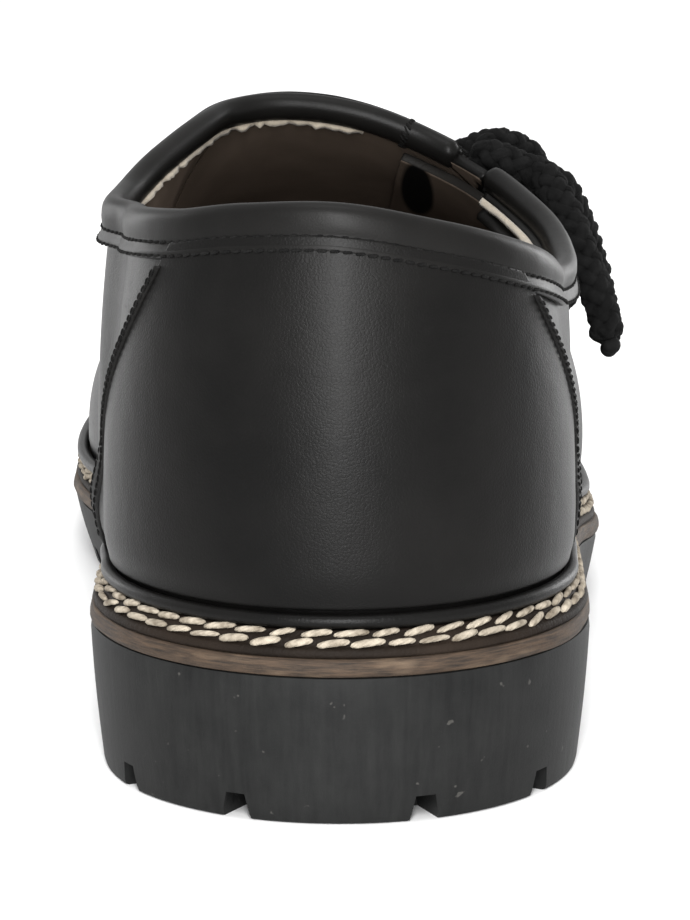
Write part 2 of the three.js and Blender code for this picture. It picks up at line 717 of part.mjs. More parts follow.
function laceKnot() {
  const lump = new THREE.SphereGeometry(0.5, 12, 8);
  lump.scale(KNOT.wide, KNOT.long, KNOT.high);
  lump.rotateY(radians(KNOT.lean));
  lump.translate(...HEART);
  let made = toSolid(lump);
  for (const { point, faces } of EYELETS[0]) {
    const up = point.clone().addScaledVector(faces, 4.5);
    made = made.add(tube([point.clone().addScaledVector(faces, 0.2), up, up.clone().lerp(HEART, 0.7)], LACE, 5));
  }
  return made;
}

// Free ends of the lace, from the knot down the outer side, each closed by a whipped tip. Places are measured
// from the knot's heart.
const LACE_ENDS = {
  lace_end_back: [
    [4.2, -4.7, 0.3],
    [6.6, -8.8, 0],
    [8.8, -12.4, -2.8],
    [11.1, -15.6, -7.2],
    [13.3, -18.2, -12.6],
    [15.2, -19.8, -18],
    [16.8, -20.5, -22.8],
    [18, -20.7, -27],
  ],
  lace_end_front: [
    [6.6, 3, -1.4],
    [10.6, 6.4, -4.4],
    [13.3, 10.4, -9.4],
    [15.6, 14.1, -15.7],
    [17.5, 16.9, -22.3],
    [18.9, 18.9, -28.7],
    [20, 20.3, -34.7],
  ],
};

function laceEnd(route) {
  const points = route.map((place) => HEART.clone().add(vec(...place)));
  const last = points.at(-1);
  const away = last.clone().sub(points.at(-2)).normalize();
  const tip = new THREE.SphereGeometry(NUB / 2, 8, 6);
  const cap = new THREE.SphereGeometry(LACE / 2 - 0.05, 8, 6);
  cap.translate(last.x, last.y, last.z);
  const seat = last.clone().addScaledVector(away, LACE / 2 + 0.3 * NUB);
  tip.translate(seat.x, seat.y, seat.z);
  return tube(points, LACE, 11).add(toSolid(cap)).add(toSolid(tip));
}

// Materials
const finish = (color, roughness) => new THREE.MeshStandardMaterial({ color, roughness, metalness: 0 });
const BLACK_LEATHER = finish(0x1b1a19, 0.42);
const DARK_LEATHER = finish(0x2a231f, 0.75);
const BROWN_LEATHER = finish(0x6f5743, 0.8);
const LINING_LEATHER = finish(0x8a7f70, 0.85);
const RUBBER = finish(0x2e2f2f, 0.7);
const CORD = finish(0x101010, 0.9);

const PIECES = [
  ["outsole", outsole(), RUBBER],
  ["midsole", plate(0, (y) => rubberTop(y) + GAP, midsoleTop), BROWN_LEATHER],
  ["welt", welt(), DARK_LEATHER],
  ["storm_rand", stormRand(), BLACK_LEATHER],
  ["insole", plate(FLANGE + WALL + 2 * GAP, seamHeight, (y) => seamHeight(y) + INSOLE), LINING_LEATHER],
  ["upper", upper(), BLACK_LEATHER],
  ["counter", counter(), BLACK_LEATHER],
  ["collar_band", collarBand(), BLACK_LEATHER],
  ["lacing_facing", facing(), BLACK_LEATHER],
  ["tongue", tongue(), LINING_LEATHER],
  ...EYELETS.slice(1).map((pair, i) => [`lace_bar_${i + 1}`, laceBar(pair), CORD]),
  ["lace_knot", laceKnot(), CORD],
  ...Object.entries(LACE_ENDS).map(([name, route]) => [name, laceEnd(route), CORD]),
];

const shoe = new THREE.Group();
for (const [name, body, material] of PIECES) {
  const mesh = new THREE.Mesh(toGeometry(body), material);
  mesh.name = name;
  shoe.add(mesh);
}

// The shoe without its free lace is centred over the origin
const box = new THREE.Box3();
for (const mesh of shoe.children) {
  if (!/knot|end/.test(mesh.name)) box.expandByObject(mesh);
}
shoe.position.set(-(box.min.x + box.max.x) / 2, -(box.min.y + box.max.y) / 2, 0);

export default shoe;
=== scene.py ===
"""Looks of a right haferl shoe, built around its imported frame.

Sizes are millimetres from the middle of the heel's back edge, as in the part's source: +Y to the toe,
+X to the foot's outer side, +Z up. metres() turns them into the frame's own metres.
"""

import math

import bmesh
import bpy
import numpy as np
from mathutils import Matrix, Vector
from mathutils.bvhtree import BVHTree


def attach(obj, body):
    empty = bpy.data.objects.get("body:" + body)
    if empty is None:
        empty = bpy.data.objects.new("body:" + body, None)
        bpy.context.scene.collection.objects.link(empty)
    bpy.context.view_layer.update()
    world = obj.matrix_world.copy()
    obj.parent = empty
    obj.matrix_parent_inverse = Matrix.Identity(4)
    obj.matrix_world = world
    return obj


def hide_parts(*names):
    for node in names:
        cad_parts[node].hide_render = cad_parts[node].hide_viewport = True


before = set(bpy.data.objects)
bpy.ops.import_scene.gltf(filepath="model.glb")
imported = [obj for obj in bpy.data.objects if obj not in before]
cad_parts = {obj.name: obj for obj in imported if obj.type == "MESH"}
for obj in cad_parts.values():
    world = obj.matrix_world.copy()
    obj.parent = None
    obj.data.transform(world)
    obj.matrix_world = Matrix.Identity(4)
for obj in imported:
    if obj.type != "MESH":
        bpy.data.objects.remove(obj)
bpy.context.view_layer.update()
draw = np.random.default_rng(41)

# Sole
LENGTH = 298
HEEL_WIDTH = 82
BALL_WIDTH = 101
HEEL_ROUND = 46
TOE_ROUND = 86
TOE_SQUARENESS = 2.25
TOE_SKEW = 5
HEEL_HEIGHT = 24
FOREFOOT_HEIGHT = 13
TOE_SPRING = 9
MIDSOLE = 2.6
HEEL_LENGTH = 84
ARCH_LENGTH = 56
ARCH_HEIGHT = 11.5
HEEL_TAPER = 2
FOREFOOT_TAPER = 3.4
SOLE_CORNER = 0.9
LUG_DEPTH = 4.2
NOTCH_WIDTH = 4.4
NOTCH_LENGTH = 11
CHANNEL_WIDTH = 3.6
EDGE_LUG = 12.5

# Seam between upper and sole
FLANGE = 5.6
WELT_EDGE = 1.3
WELT_INNER = 3.7
BEAD = 2.3
WELT_REVEAL = 0.5
WELT_STITCH = 5.4

# Upper
INSTEP_HEIGHT = 101.5
COLLAR_BACK = 96.4
WALL = 2
OVERLAY = 1.2
BAND_WIDTH = 7.2
UNDER_BAND = 1
TONGUE = 1.8
INSOLE = 3
GAP = 0.3

# Lacing
LACE = 6
SLIT_WIDTH = 7
SLIT_LENGTH = 66
EYELET_ROWS = 4
EYELET_PITCH = 13
FIRST_EYELET = 20
EYELET_SPREAD = 18

# The frame's origin
MIDDLE = np.array([-2.258, 149, 0])


def rows(names, *lines):
    return {name: np.array(values, float) for name, values in zip(names.split(), zip(*lines))}


SOLE_ROWS = rows(
    "at inner outer",
    (0.154, 41, 41),
    (0.235, 39.36, 41.25),
    (0.32, 34.03, 41.25),
    (0.4, 31.57, 43.46),
    (0.49, 37.37, 47.47),
    (0.575, 45.45, 47.98),
    (0.645, 50.7, 47.27),
    (0.7114, 52.52, 46.66),
)
UPPER_ROWS = rows(
    "at ridge crest full inner outer inner_round outer_round",
    (0.154, 1.478, 0, 14, 1.8, 1.5, 2, 2),
    (0.2, 1.55, 0, 22, 5.2, 2.8, 2.05, 2.2),
    (0.25, 1.42, -0.02, 28, 6, 2.8, 2.05, 2.1),
    (0.3, 1.175, -0.05, 27, 7.6, 2.8, 2.05, 2),
    (0.338, 1.065, -0.075, 25, 8.8, 2.8, 2.05, 2),
    (0.3725, 1, -0.085, 24, 9.6, 2.8, 2.3, 2),
    (0.43, 0.905, -0.075, 20, 9.2, 2.8, 2.2, 2),
    (0.5, 0.81, -0.06, 15, 7, 2.6, 2.2, 2.1),
    (0.58, 0.71, -0.045, 11, 4.6, 2.6, 2.2, 2.2),
    (0.65, 0.63, -0.03, 9, 3.4, 2.4, 2.3, 2.3),
    (0.7114, 0.575, -0.02, 8, 2.6, 2.4, 2.4, 2.4),
)
COLLAR_ROWS = rows(
    "at height band",
    (-18, 0.966, 1),
    (0, 1, 1),
    (18, 0.993, 1),
    (34, 0.97, 1),
    (72, 0.943, 1),
    (108, 0.945, 0.95),
    (130, 0.99, 0.8),
    (152, 1.034, 0.6),
    (170, 1.048, 0.55),
    (186, 1.024, 0.55),
    (204, 0.96, 0.6),
    (228, 0.901, 0.75),
    (262, 0.846, 0.85),
    (290, 0.842, 0.9),
    (318, 0.905, 1),
    (342, 0.966, 1),
    (360, 1, 1),
    (378, 0.993, 1),
)
COLLAR_MIDDLE = np.array([0, 0.208 * LENGTH])
# Front seam of the counter: height above the floor, distance along the shoe
COUNTER_SEAM = rows(
    "at along",
    (19.3, 59.9),
    (32.8, 59.6),
    (40.5, 57.2),
    (50.1, 50.1),
    (63.6, 38.7),
    (75.2, 29.2),
    (86.8, 22.6),
    (101.2, 18.5),
)


def metres(points):
    return (np.asarray(points, float) - MIDDLE) / 1000


def lerp(a, b, t):
    return a + (b - a) * t


def smooth(t):
    t = np.clip(t, 0, 1)
    return t * t * (3 - 2 * t)


def unit(vectors):
    return vectors / np.maximum(np.linalg.norm(vectors, axis=-1, keepdims=True), 1e-9)


def hump(distance, width):
    """A soft ridge that is 1 on its line."""
    return np.exp(-((distance / width) ** 2))


def column(table, name, at):
    """Value of a table's column along a smooth curve through its rows."""
    keys = table["at"]
    values = table[name]
    slopes = np.zeros_like(values)
    slopes[1:-1] = (values[2:] - values[:-2]) / (keys[2:] - keys[:-2])
    i = np.clip(np.searchsorted(keys, at, side="right") - 1, 0, len(keys) - 2)
    span = keys[i + 1] - keys[i]
    t = np.clip((at - keys[i]) / span, 0, 1)
    rise = values[i + 1] - values[i]
    a = slopes[i] * span - rise
    b = rise - slopes[i + 1] * span
    return values[i] + rise * t + t * (1 - t) * (a * (1 - t) + b * t)


# The last: places round the sole run from 0 at the heel's back to 3 at the toe, negative on the inner
# side, with 1 at the end of the heel's half oval and 2 at the ball


def edge(s):
    s = (np.asarray(s, float) + 3) % 6 - 3
    side = np.where(s < 0, -1.0, 1.0)
    a = np.abs(s)
    widest = LENGTH - TOE_ROUND
    turn = np.radians(90 * np.clip(a, 0, 1))
    along = lerp(HEEL_ROUND, widest, np.clip(a - 1, 0, 1))
    inner, outer = (column(SOLE_ROWS, name, along / LENGTH) for name in ("inner", "outer"))
    half = np.where(side < 0, inner, outer)
    toe = np.radians(90 * np.clip(a - 2, 0, 1))
    ahead = np.sin(toe) ** (2 / TOE_SQUARENESS)
    across = np.clip(np.cos(toe), 0, 1) ** (2 / TOE_SQUARENESS)
    x = np.where(a < 1, side * HEEL_WIDTH / 2 * np.sin(turn), side * half * across - TOE_SKEW * ahead**2)
    y = np.where(a < 1, HEEL_ROUND * (1 - np.cos(turn)), along + TOE_ROUND * ahead)
    return x, y, along


def inset(s, distance):
    """Point inside the sole's edge, and the way out there."""
    x, y, _ = edge(s)
    before = edge(s - 0.01)
    after = edge(s + 0.01)
    along = unit(np.stack([after[0] - before[0], after[1] - before[1]], -1))
    out = np.stack([along[..., 1], -along[..., 0]], -1)
    return x - out[..., 0] * distance, y - out[..., 1] * distance, out


def spring(y):
    return TOE_SPRING * np.clip((y - 0.76 * LENGTH) / (0.24 * LENGTH), 0, 1) ** 2


def rubber_top(y):
    slope = smooth((y / LENGTH - 0.22) / (0.64 - 0.22))
    return lerp(HEEL_HEIGHT, FOREFOOT_HEIGHT, slope) + spring(y)


def midsole_top(y):
    return rubber_top(y) + GAP + MIDSOLE


def seam_height(y):
    return midsole_top(y) + GAP


def wall(s, t):
    """Point of the upper's wall: t runs from 0 at the seam past 1 at its fullest line to 2 at the ridge."""
    s, t = np.broadcast_arrays(np.asarray(s, float), np.asarray(t, float))
    axis = edge(s)[2]
    x, y, _ = inset(s, FLANGE)
    share = axis / LENGTH
    low = seam_height(y)
    middle = BALL_WIDTH * column(UPPER_ROWS, "crest", share)
    away = np.stack([x - middle, y - axis], -1)
    reach = np.linalg.norm(away, axis=-1)
    away = unit(away)
    lateral = 0.5 + 0.5 * away[..., 0]
    inner, outer, inner_round, outer_round = (
        column(UPPER_ROWS, name, share) for name in ("inner", "outer", "inner_round", "outer_round")
    )
    bulge = lerp(inner, outer, lateral)
    power = 2 / lerp(inner_round, outer_round, lateral)
    full = column(UPPER_ROWS, "full", share)
    top = INSTEP_HEIGHT * column(UPPER_ROWS, "ridge", share)
    rise = np.clip(t, 0, 1)
    turn = np.radians(90 * np.clip(t - 1, 0, 1))
    distance = (reach + bulge * (1 - (1 - rise) ** 2)) * np.clip(np.cos(turn), 0, 1) ** power
    z = lerp(low + full * rise, top, np.where(t > 1, np.sin(turn) ** power, 0))
    return np.stack([middle + away[..., 0] * distance, axis + away[..., 1] * distance, z], -1)


def wall_faces(s, t):
    """The way that the wall faces."""
    step = 0.006
    high = np.minimum(t, 2 - 2 * step)
    along = wall(s + step, high) - wall(s - step, high)
    rise = wall(s, high + step) - wall(s, np.maximum(high - step, 0))
    return unit(np.cross(along, rise))


def crossing(beyond, low, high, steps):
    """Where a test turns true between two arrays."""
    for _ in range(steps):
        middle = (low + high) / 2
        past = beyond(middle)
        high = np.where(past, middle, high)
        low = np.where(past, low, middle)
    return (low + high) / 2


def rise_to(s, z):
    """The t at which the wall has a height."""
    foot = np.zeros(np.broadcast(s, z).shape)
    return crossing(lambda t: wall(s, t)[..., 2] > z, foot, foot + 2, 26)


def wall_above(s, height):
    """Point of the wall at a height above the seam."""
    z = wall(s, np.zeros_like(s))[..., 2] + height
    return wall(s, rise_to(s, z))


def even_places(count):
    """Places once round the sole, the same distance apart on the outer side and matched on the inner side."""
    fine = np.linspace(0, 3, 1501)
    x, y, _ = edge(fine)
    run = np.concatenate([[0], np.cumsum(np.hypot(np.diff(x), np.diff(y)))])
    half = np.interp(np.linspace(0, run[-1], count // 2 + 1), run, fine)
    return np.concatenate([-half[:0:-1], half]), 2 * run[-1]


# Making pieces


def surface(name, points, span=(1, 1), flip=False):
    """A mesh from a grid that is laid over rows of points, with a UV map in millimetres."""
    points = np.asarray(points, float)
    mesh = bmesh.new()
    grid_uv = mesh.loops.layers.uv.new("UVMap")
    bmesh.ops.create_grid(
        mesh, x_segments=points.shape[1] - 1, y_segments=points.shape[0] - 1, size=0.5, calc_uvs=True
    )
    for vert, place in zip(mesh.verts, metres(points).reshape(-1, 3)):
        vert.co = place
    for face in mesh.faces:
        face.smooth = True
        for loop in face.loops:
            loop[grid_uv].uv = (loop[grid_uv].uv[0] * span[0], loop[grid_uv].uv[1] * span[1])
    bmesh.ops.remove_doubles(mesh, verts=mesh.verts, dist=1e-6)
    if flip:
        bmesh.ops.reverse_faces(mesh, faces=mesh.faces)
    return piece(name, mesh)


def piece(name, mesh):
    data = bpy.data.meshes.new(name)
    mesh.to_mesh(data)
    mesh.free()
    made = bpy.data.objects.new(name, data)
    bpy.context.scene.collection.objects.link(made)
    return made


def dress(made, finishes, nodes=(), sharp=None):
    """Gives a piece its finishes and body, and hides the nodes that it stands for."""
    for finish in finishes if isinstance(finishes, (list, tuple)) else [finishes]:
        made.data.materials.append(finish)
    if sharp:
        made.data.set_sharp_from_angle(angle=math.radians(sharp))
    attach(made, "root")
    if nodes:
        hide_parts(*nodes)


def thicken(made, thickness, inside=0, rounded=0):
    """Gives a surface its thickness, inwards, with the inside's finish and a rounded edge."""
    solid = made.modifiers.new("thickness", "SOLIDIFY")
    solid.thickness = thickness / 1000
    solid.offset = -1
    solid.material_offset = inside
    solid.use_even_offset = False
    if rounded:
        bevel = made.modifiers.new("rounded edge", "BEVEL")
        bevel.width = rounded / 1000
        bevel.segments = 2
        bevel.limit_method = "ANGLE"
        bevel.angle_limit = math.radians(50)


def carve(made, cutter):
    """Takes the cutter's solids out of a piece."""
    cut = made.modifiers.new("cut", "BOOLEAN")
    cut.operation = "DIFFERENCE"
    cut.solver = "EXACT"
    cut.object = cutter
    bpy.context.view_layer.update()
    data = bpy.data.meshes.new_from_object(made.evaluated_get(bpy.context.evaluated_depsgraph_get()))
    made.modifiers.clear()
    made.data = data
    bpy.data.objects.remove(cutter)


def turn_out(made, fill=False):
    """Turns a closed piece's faces out, after closing its open ends where it has any."""
    mesh = bmesh.new()
    mesh.from_mesh(made.data)
    if fill:
        bmesh.ops.holes_fill(mesh, edges=[e for e in mesh.edges if e.is_boundary], sides=0)
    bmesh.ops.recalc_face_normals(mesh, faces=mesh.faces)
    for face in mesh.faces:
        face.smooth = True
    mesh.to_mesh(made.data)
    mesh.free()


def walk(path, pitch, start=0.5):
    """Shares of a path's points that lie a pitch apart along it."""
    run = np.concatenate([[0], np.cumsum(np.linalg.norm(np.diff(path, axis=0), axis=1))])
    count = max(int(round(run[-1] / pitch)), 1)
    return np.interp((np.arange(count) + start) / count * run[-1], run, np.arange(len(path)))


def along_path(values, at):
    i = np.clip(np.floor(at).astype(int), 0, len(values) - 2)
    return lerp(values[i], values[i + 1], (at - i)[:, None])


def stitches(name, lines, pitch, cover, thread, slant=0, arch=0.25, wander=0.06):
    """Separate stitches along lines, each a pair of path and facing arrays."""
    mesh = bmesh.new()
    mesh.loops.layers.uv.new("UVMap")
    for path, faces in lines:
        at = walk(path, pitch)
        centres = along_path(path, at)
        up = unit(along_path(faces, at))
        ahead = unit(along_path(path, at + 0.4) - along_path(path, at - 0.4))
        side = unit(np.cross(up, ahead))
        for k in range(len(at)):
            lean = slant + wander * draw.normal()
            run = unit(ahead[k] + side[k] * lean)
            wide = unit(np.cross(up[k], run))
            half = pitch * cover / 2 * (1 + wander * draw.normal())
            thick = thread / 2 * (1 + wander * draw.normal())
            made = bmesh.ops.create_uvsphere(mesh, u_segments=8, v_segments=7, radius=1, calc_uvs=True)
            for vert in made["verts"]:
                x, y, z = vert.co
                fuller = math.sqrt(1 + z * z)
                place = (
                    centres[k]
                    + run * z * half
                    + wide * x * fuller * thick
                    + up[k] * (y * fuller * thick + thread * (arch * (1 - z * z) - 0.1))
                )
                vert.co = metres(place)
    for face in mesh.faces:
        face.smooth = True
    return piece(name, mesh)


# Shader nodes


class Value:
    """A node's output, whose arithmetic adds Math nodes."""

    def __init__(self, finish, socket):
        self.finish = finish
        self.socket = socket

    def __add__(self, other):
        return self.finish.node("ShaderNodeMath", {"operation": "ADD"}, [self, other])

    def __mul__(self, other):
        return self.finish.node("ShaderNodeMath", {"operation": "MULTIPLY"}, [self, other])


class Finish:
    """A material made of nodes."""

    def __init__(self, name, **sockets):
        self.material = bpy.data.materials.new(name)
        self.material.use_nodes = True
        self.tree = self.material.node_tree
        self.shader = self.tree.nodes["Principled BSDF"]
        for socket, value in sockets.items():
            self.set(socket.replace("_", " "), value)
        self.material.diffuse_color = (0.05, 0.05, 0.05, 1)

    def set(self, socket, value):
        self.feed(self.shader.inputs[socket], value)

    def feed(self, socket, value):
        if isinstance(value, Value):
            self.tree.links.new(value.socket, socket)
        elif isinstance(value, tuple) and len(value) == 3 and socket.type == "RGBA":
            socket.default_value = (*value, 1)
        else:
            socket.default_value = value

    def node(self, kind, settings=None, inputs=(), output=0):
        made = self.tree.nodes.new(kind)
        for name, value in (settings or {}).items():
            if name == "stops":
                self.stops(made.color_ramp, value)
            else:
                setattr(made, name, value)
        named = inputs.items() if isinstance(inputs, dict) else enumerate(inputs)
        for socket, value in named:
            self.feed(made.inputs[socket], value)
        return Value(self, made.outputs[output])

    def stops(self, ramp, stops):
        while len(ramp.elements) < len(stops):
            ramp.elements.new(0.5)
        for element, (place, shade) in zip(ramp.elements, stops):
            element.position = place
            element.color = (*shade, 1) if isinstance(shade, tuple) else (shade, shade, shade, 1)

    def place(self, scale=(1, 1, 1), kind="Object"):
        """Coordinates in metres, or along the piece's own map in millimetres with the kind UV."""
        spot = self.node("ShaderNodeTexCoord", output=kind)
        return self.node("ShaderNodeMapping", inputs={"Vector": spot, "Scale": scale})

    def noise(self, scale, detail=3.0, roughness=0.55, at=None, distortion=0.0):
        return self.node(
            "ShaderNodeTexNoise",
            inputs={
                "Vector": at or self.place(),
                "Scale": scale,
                "Detail": detail,
                "Roughness": roughness,
                "Distortion": distortion,
            },
        )

    def ramp(self, value, *stops):
        return self.node("ShaderNodeValToRGB", {"stops": stops}, [value])

    def mix(self, share, a, b):
        made = self.tree.nodes.new("ShaderNodeMix")
        made.data_type = "RGBA"
        for socket, value in zip([made.inputs[0], made.inputs[6], made.inputs[7]], [share, a, b]):
            self.feed(socket, value)
        return Value(self, made.outputs[2])

    def bump(self, height, strength, distance, under=None):
        inputs = {"Height": height, "Strength": strength, "Distance": distance}
        if under:
            inputs["Normal"] = under
        return self.node("ShaderNodeBump", inputs=inputs)


def leather(name, dark, light, rough, grain=1500, relief=0.1, coat=0.0, wear=0.0, painted_shadow=None):
    """Leather: fine cells, pores, clouded colour and gloss, and a painted shadow, a near-black oval set by
    its middle and reach.
    """
    made = Finish(name, Specular_IOR_Level=0.09, Coat_Weight=coat, Coat_Roughness=0.28)
    clouds = made.noise(38.0, 4.0)
    cells = made.node(
        "ShaderNodeTexVoronoi",
        {"feature": "DISTANCE_TO_EDGE"},
        {"Vector": made.place(), "Scale": float(grain), "Randomness": 0.9},
    )
    fine = made.noise(grain * 1.9, 3.0, 0.6)
    scuff = made.ramp(made.noise(95.0, 6.0, 0.7, distortion=0.6), (0.62, 0.0), (0.74, 1.0))
    colour = made.mix(made.ramp(clouds, (0.3, 0.0), (0.7, 1.0)), dark, light)
    if painted_shadow:
        middle, reach = painted_shadow
        around = {
            "Vector": made.node("ShaderNodeTexCoord", output="Object"),
            "Location": tuple(metres(middle)),
            "Scale": tuple(size / 1000 for size in reach),
        }
        spot = made.node("ShaderNodeMapping", {"vector_type": "TEXTURE"}, around)
        far = made.node("ShaderNodeVectorMath", {"operation": "LENGTH"}, [spot], output="Value")
        # Painted shadow: near-black inside the oval, fading out towards its rim
        colour = made.mix(made.ramp(far, (0.8, 1.0), (1.0, 0.0)), colour, (0.001, 0.001, 0.001))
    made.set("Base Color", colour)
    gloss = clouds * 0.14 + (rough - 0.07) + fine * 0.12
    if wear:
        gloss = gloss + scuff * wear
    made.set("Roughness", gloss)
    relief_fine = made.bump(fine, relief * 2.0, 0.00012)
    relief_cells = made.bump(made.ramp(cells, (0.0, 0.0), (0.2, 1.0)), relief, 0.00008, relief_fine)
    made.set("Normal", made.bump(made.noise(55.0, 3.0), 0.2, 0.0014, relief_cells))
    return made.material


def thread(name, dark, light, rough=0.8, twist=0.6):
    """Twisted thread with a fuzzy surface."""
    made = Finish(name, Roughness=rough, Specular_IOR_Level=0.12)
    strands = made.node(
        "ShaderNodeTexWave",
        {"bands_direction": "DIAGONAL"},
        {"Vector": made.place((2.0, 2.6, 1.0), "UV"), "Scale": 1.0},
    )
    fuzz = made.noise(2600.0, 3.0, 0.7)
    made.set("Base Color", made.mix(made.ramp(made.noise(420.0, 3.0), (0.3, 0.0), (0.65, 1.0)), dark, light))
    made.set("Normal", made.bump(fuzz, 0.5, 0.00012, made.bump(strands, twist, 0.0002)))
    return made.material


BLACK = leather(
    "black upper leather",
    (0.002, 0.0019, 0.0018),
    (0.005, 0.0047, 0.0044),
    0.33,
    relief=0.17,
    coat=0.03,
    wear=0.12,
)
BAND_BLACK = leather(
    "black band leather", (0.003, 0.0029, 0.0027), (0.007, 0.0066, 0.0062), 0.36, grain=1700, coat=0.03
)
LINING = leather("lining leather", (0.08, 0.061, 0.047), (0.13, 0.1, 0.078), 0.75, relief=0.12)
# Painted shadow: a near-black oval low on the far side of the inside, standing for the shade in the gap where
# the tongue's edge stands off the lining
GAP_SHADOW_OVAL = (13.8, 127.1, 82.4), (3.2, 19, 20)
TONGUE_LINING = leather(
    "tongue lining", (0.06, 0.045, 0.035), (0.1, 0.077, 0.06), 0.8, relief=0.12, painted_shadow=GAP_SHADOW_OVAL
)
RIDGE_BLACK = leather("black seam leather", (0.003, 0.003, 0.003), (0.009, 0.0085, 0.008), 0.5, relief=0.4)
TONGUE_BLACK = leather(
    "tongue leather", (0.006, 0.0055, 0.005), (0.012, 0.011, 0.01), 0.5, grain=700, relief=0.3
)
WELT_DARK = leather(
    "welt leather", (0.005, 0.0035, 0.0025), (0.018, 0.0125, 0.009), 0.6, grain=700, relief=0.5, wear=0.2
)
CREAM_THREAD = thread("cream thread", (0.13, 0.107, 0.08), (0.37, 0.325, 0.26))
BLACK_THREAD = thread("black thread", (0.002, 0.002, 0.002), (0.007, 0.0068, 0.0065), 0.85)
CORD_BLACK = thread("black cord", (0.0015, 0.0015, 0.0015), (0.007, 0.007, 0.007), 0.9, 0.9)


def raw_edge():
    """Cut edge of pale leather, fibrous."""
    made = Finish("raw pale leather", Roughness=0.9, Sheen_Weight=0.2)
    made.set("Base Color", made.mix(made.noise(900.0, 4.0, 0.7), (0.2, 0.165, 0.125), (0.45, 0.4, 0.32)))
    made.set("Normal", made.bump(made.noise(2200.0, 4.0, 0.7), 0.8, 0.0002))
    return made.material


def rubber():
    """Matt moulded rubber with faint upright streaks and a few pale flecks."""
    made = Finish("black rubber", Specular_IOR_Level=0.16)
    upright = made.noise(1.0, 4.0, 0.6, made.place((700.0, 700.0, 55.0)))
    dust = made.noise(120.0, 5.0, 0.65)
    tone = made.ramp(upright * 0.55 + dust * 0.45, (0.36, 0.0), (0.66, 1.0))
    flecks = made.ramp(made.noise(420.0, 2.0, 0.5), (0.72, 0.0), (0.75, 1.0))
    black = made.mix(tone, (0.0045, 0.0047, 0.0047), (0.0115, 0.0118, 0.0115))
    made.set("Base Color", made.mix(flecks * 0.3, black, (0.12, 0.115, 0.105)))
    made.set("Roughness", upright * 0.16 + 0.54)
    grain = made.bump(made.noise(1900.0, 4.0, 0.7), 0.28, 0.00015)
    made.set("Normal", made.bump(upright, 0.1, 0.0003, grain))
    return made.material


def cut_leather():
    """Brown leather cut at the sole's edge: streaks along it, tan where it is worn."""
    made = Finish("brown midsole leather", Specular_IOR_Level=0.3)
    streaks = made.noise(1.0, 5.0, 0.65, made.place((0.16, 1.4, 1.0), "UV"))
    patches = made.noise(1.0, 3.0, 0.6, made.place((0.05, 0.22, 1.0), "UV"))
    dark, light = (0.009, 0.006, 0.004), (0.066, 0.042, 0.026)
    brown = made.mix(made.ramp(streaks, (0.32, 0.0), (0.68, 1.0)), dark, light)
    tan = made.ramp(patches, (0.54, 0.0), (0.66, 1.0))
    made.set("Base Color", made.mix(tan * 0.6, brown, (0.125, 0.087, 0.056)))
    made.set("Roughness", streaks * 0.2 + 0.62)
    fibres = made.bump(made.noise(1500.0, 4.0, 0.75), 0.5, 0.0002)
    made.set("Normal", made.bump(streaks, 0.6, 0.0004, fibres))
    return made.material


RAW = raw_edge()
RUBBER = rubber()
CUT_LEATHER = cut_leather()


# Camera, at the photograph's angle: focal length and picture height in pixels, then place, tilt and turn
FOCAL_LENGTH = 4747
PICTURE_HEIGHT = 920
CAMERA_PLACE = (-0.3, -714.7, 198.9)
CAMERA_TILT = math.radians(11.11)
CAMERA_TURN = -0.0014


def aim_camera():
    lens = bpy.data.cameras.new("camera")
    lens.sensor_fit = "VERTICAL"
    lens.sensor_height = 24
    lens.lens = lens.sensor_height * FOCAL_LENGTH / PICTURE_HEIGHT
    lens.clip_start = 0.05
    seen_from = bpy.data.objects.new("camera", lens)
    seen_from.location = metres(CAMERA_PLACE)
    seen_from.rotation_euler = (math.pi / 2 - CAMERA_TILT, 0, CAMERA_TURN)
    bpy.context.scene.collection.objects.link(seen_from)
    bpy.context.scene.camera = seen_from


aim_camera()

# Free lace, first of the pieces

HEART = np.array([28.99, 121.1, 87.29])
LACE_ENDS = {
    "lace_end_back": [
        (4.2, -4.7, 0.3),
        (6.6, -8.8, 0),
        (8.8, -12.4, -2.8),
        (11.1, -15.6, -7.2),
        (13.3, -18.2, -12.6),
        (15.2, -19.8, -18),
        (16.8, -20.5, -22.8),
        (18, -20.7, -27),
    ],
    "lace_end_front": [
        (6.6, 3, -1.4),
        (10.6, 6.4, -4.4),
        (13.3, 10.4, -9.4),
        (15.6, 14.1, -15.7),
        (17.5, 16.9, -22.3),
        (18.9, 18.9, -28.7),
        (20, 20.3, -34.7),
    ],
}


def curve(points, step=0.35):
    """Smooth curve through points, in even steps."""
    points = np.asarray(points, float)
    ends = np.vstack([2 * points[0] - points[1], points, 2 * points[-1] - points[-2]])
    made = []
    for k in range(1, len(ends) - 2):
        p0, p1, p2, p3 = ends[k - 1 : k + 3]
        t = np.linspace(0, 1, 40, endpoint=False)[:, None]
        bend = 2 * p0 - 5 * p1 + 4 * p2 - p3
        twist = 3 * p1 - p0 - 3 * p2 + p3
        made.append(0.5 * (2 * p1 + (p2 - p0) * t + bend * t**2 + twist * t**3))
    fine = np.vstack([*made, points[-1:]])
    run = np.concatenate([[0], np.cumsum(np.linalg.norm(np.diff(fine, axis=0), axis=1))])
    even = np.linspace(0, run[-1], max(int(run[-1] / step), 4) + 1)
    return np.stack([np.interp(even, run, fine[:, k]) for k in range(3)], -1), run[-1]


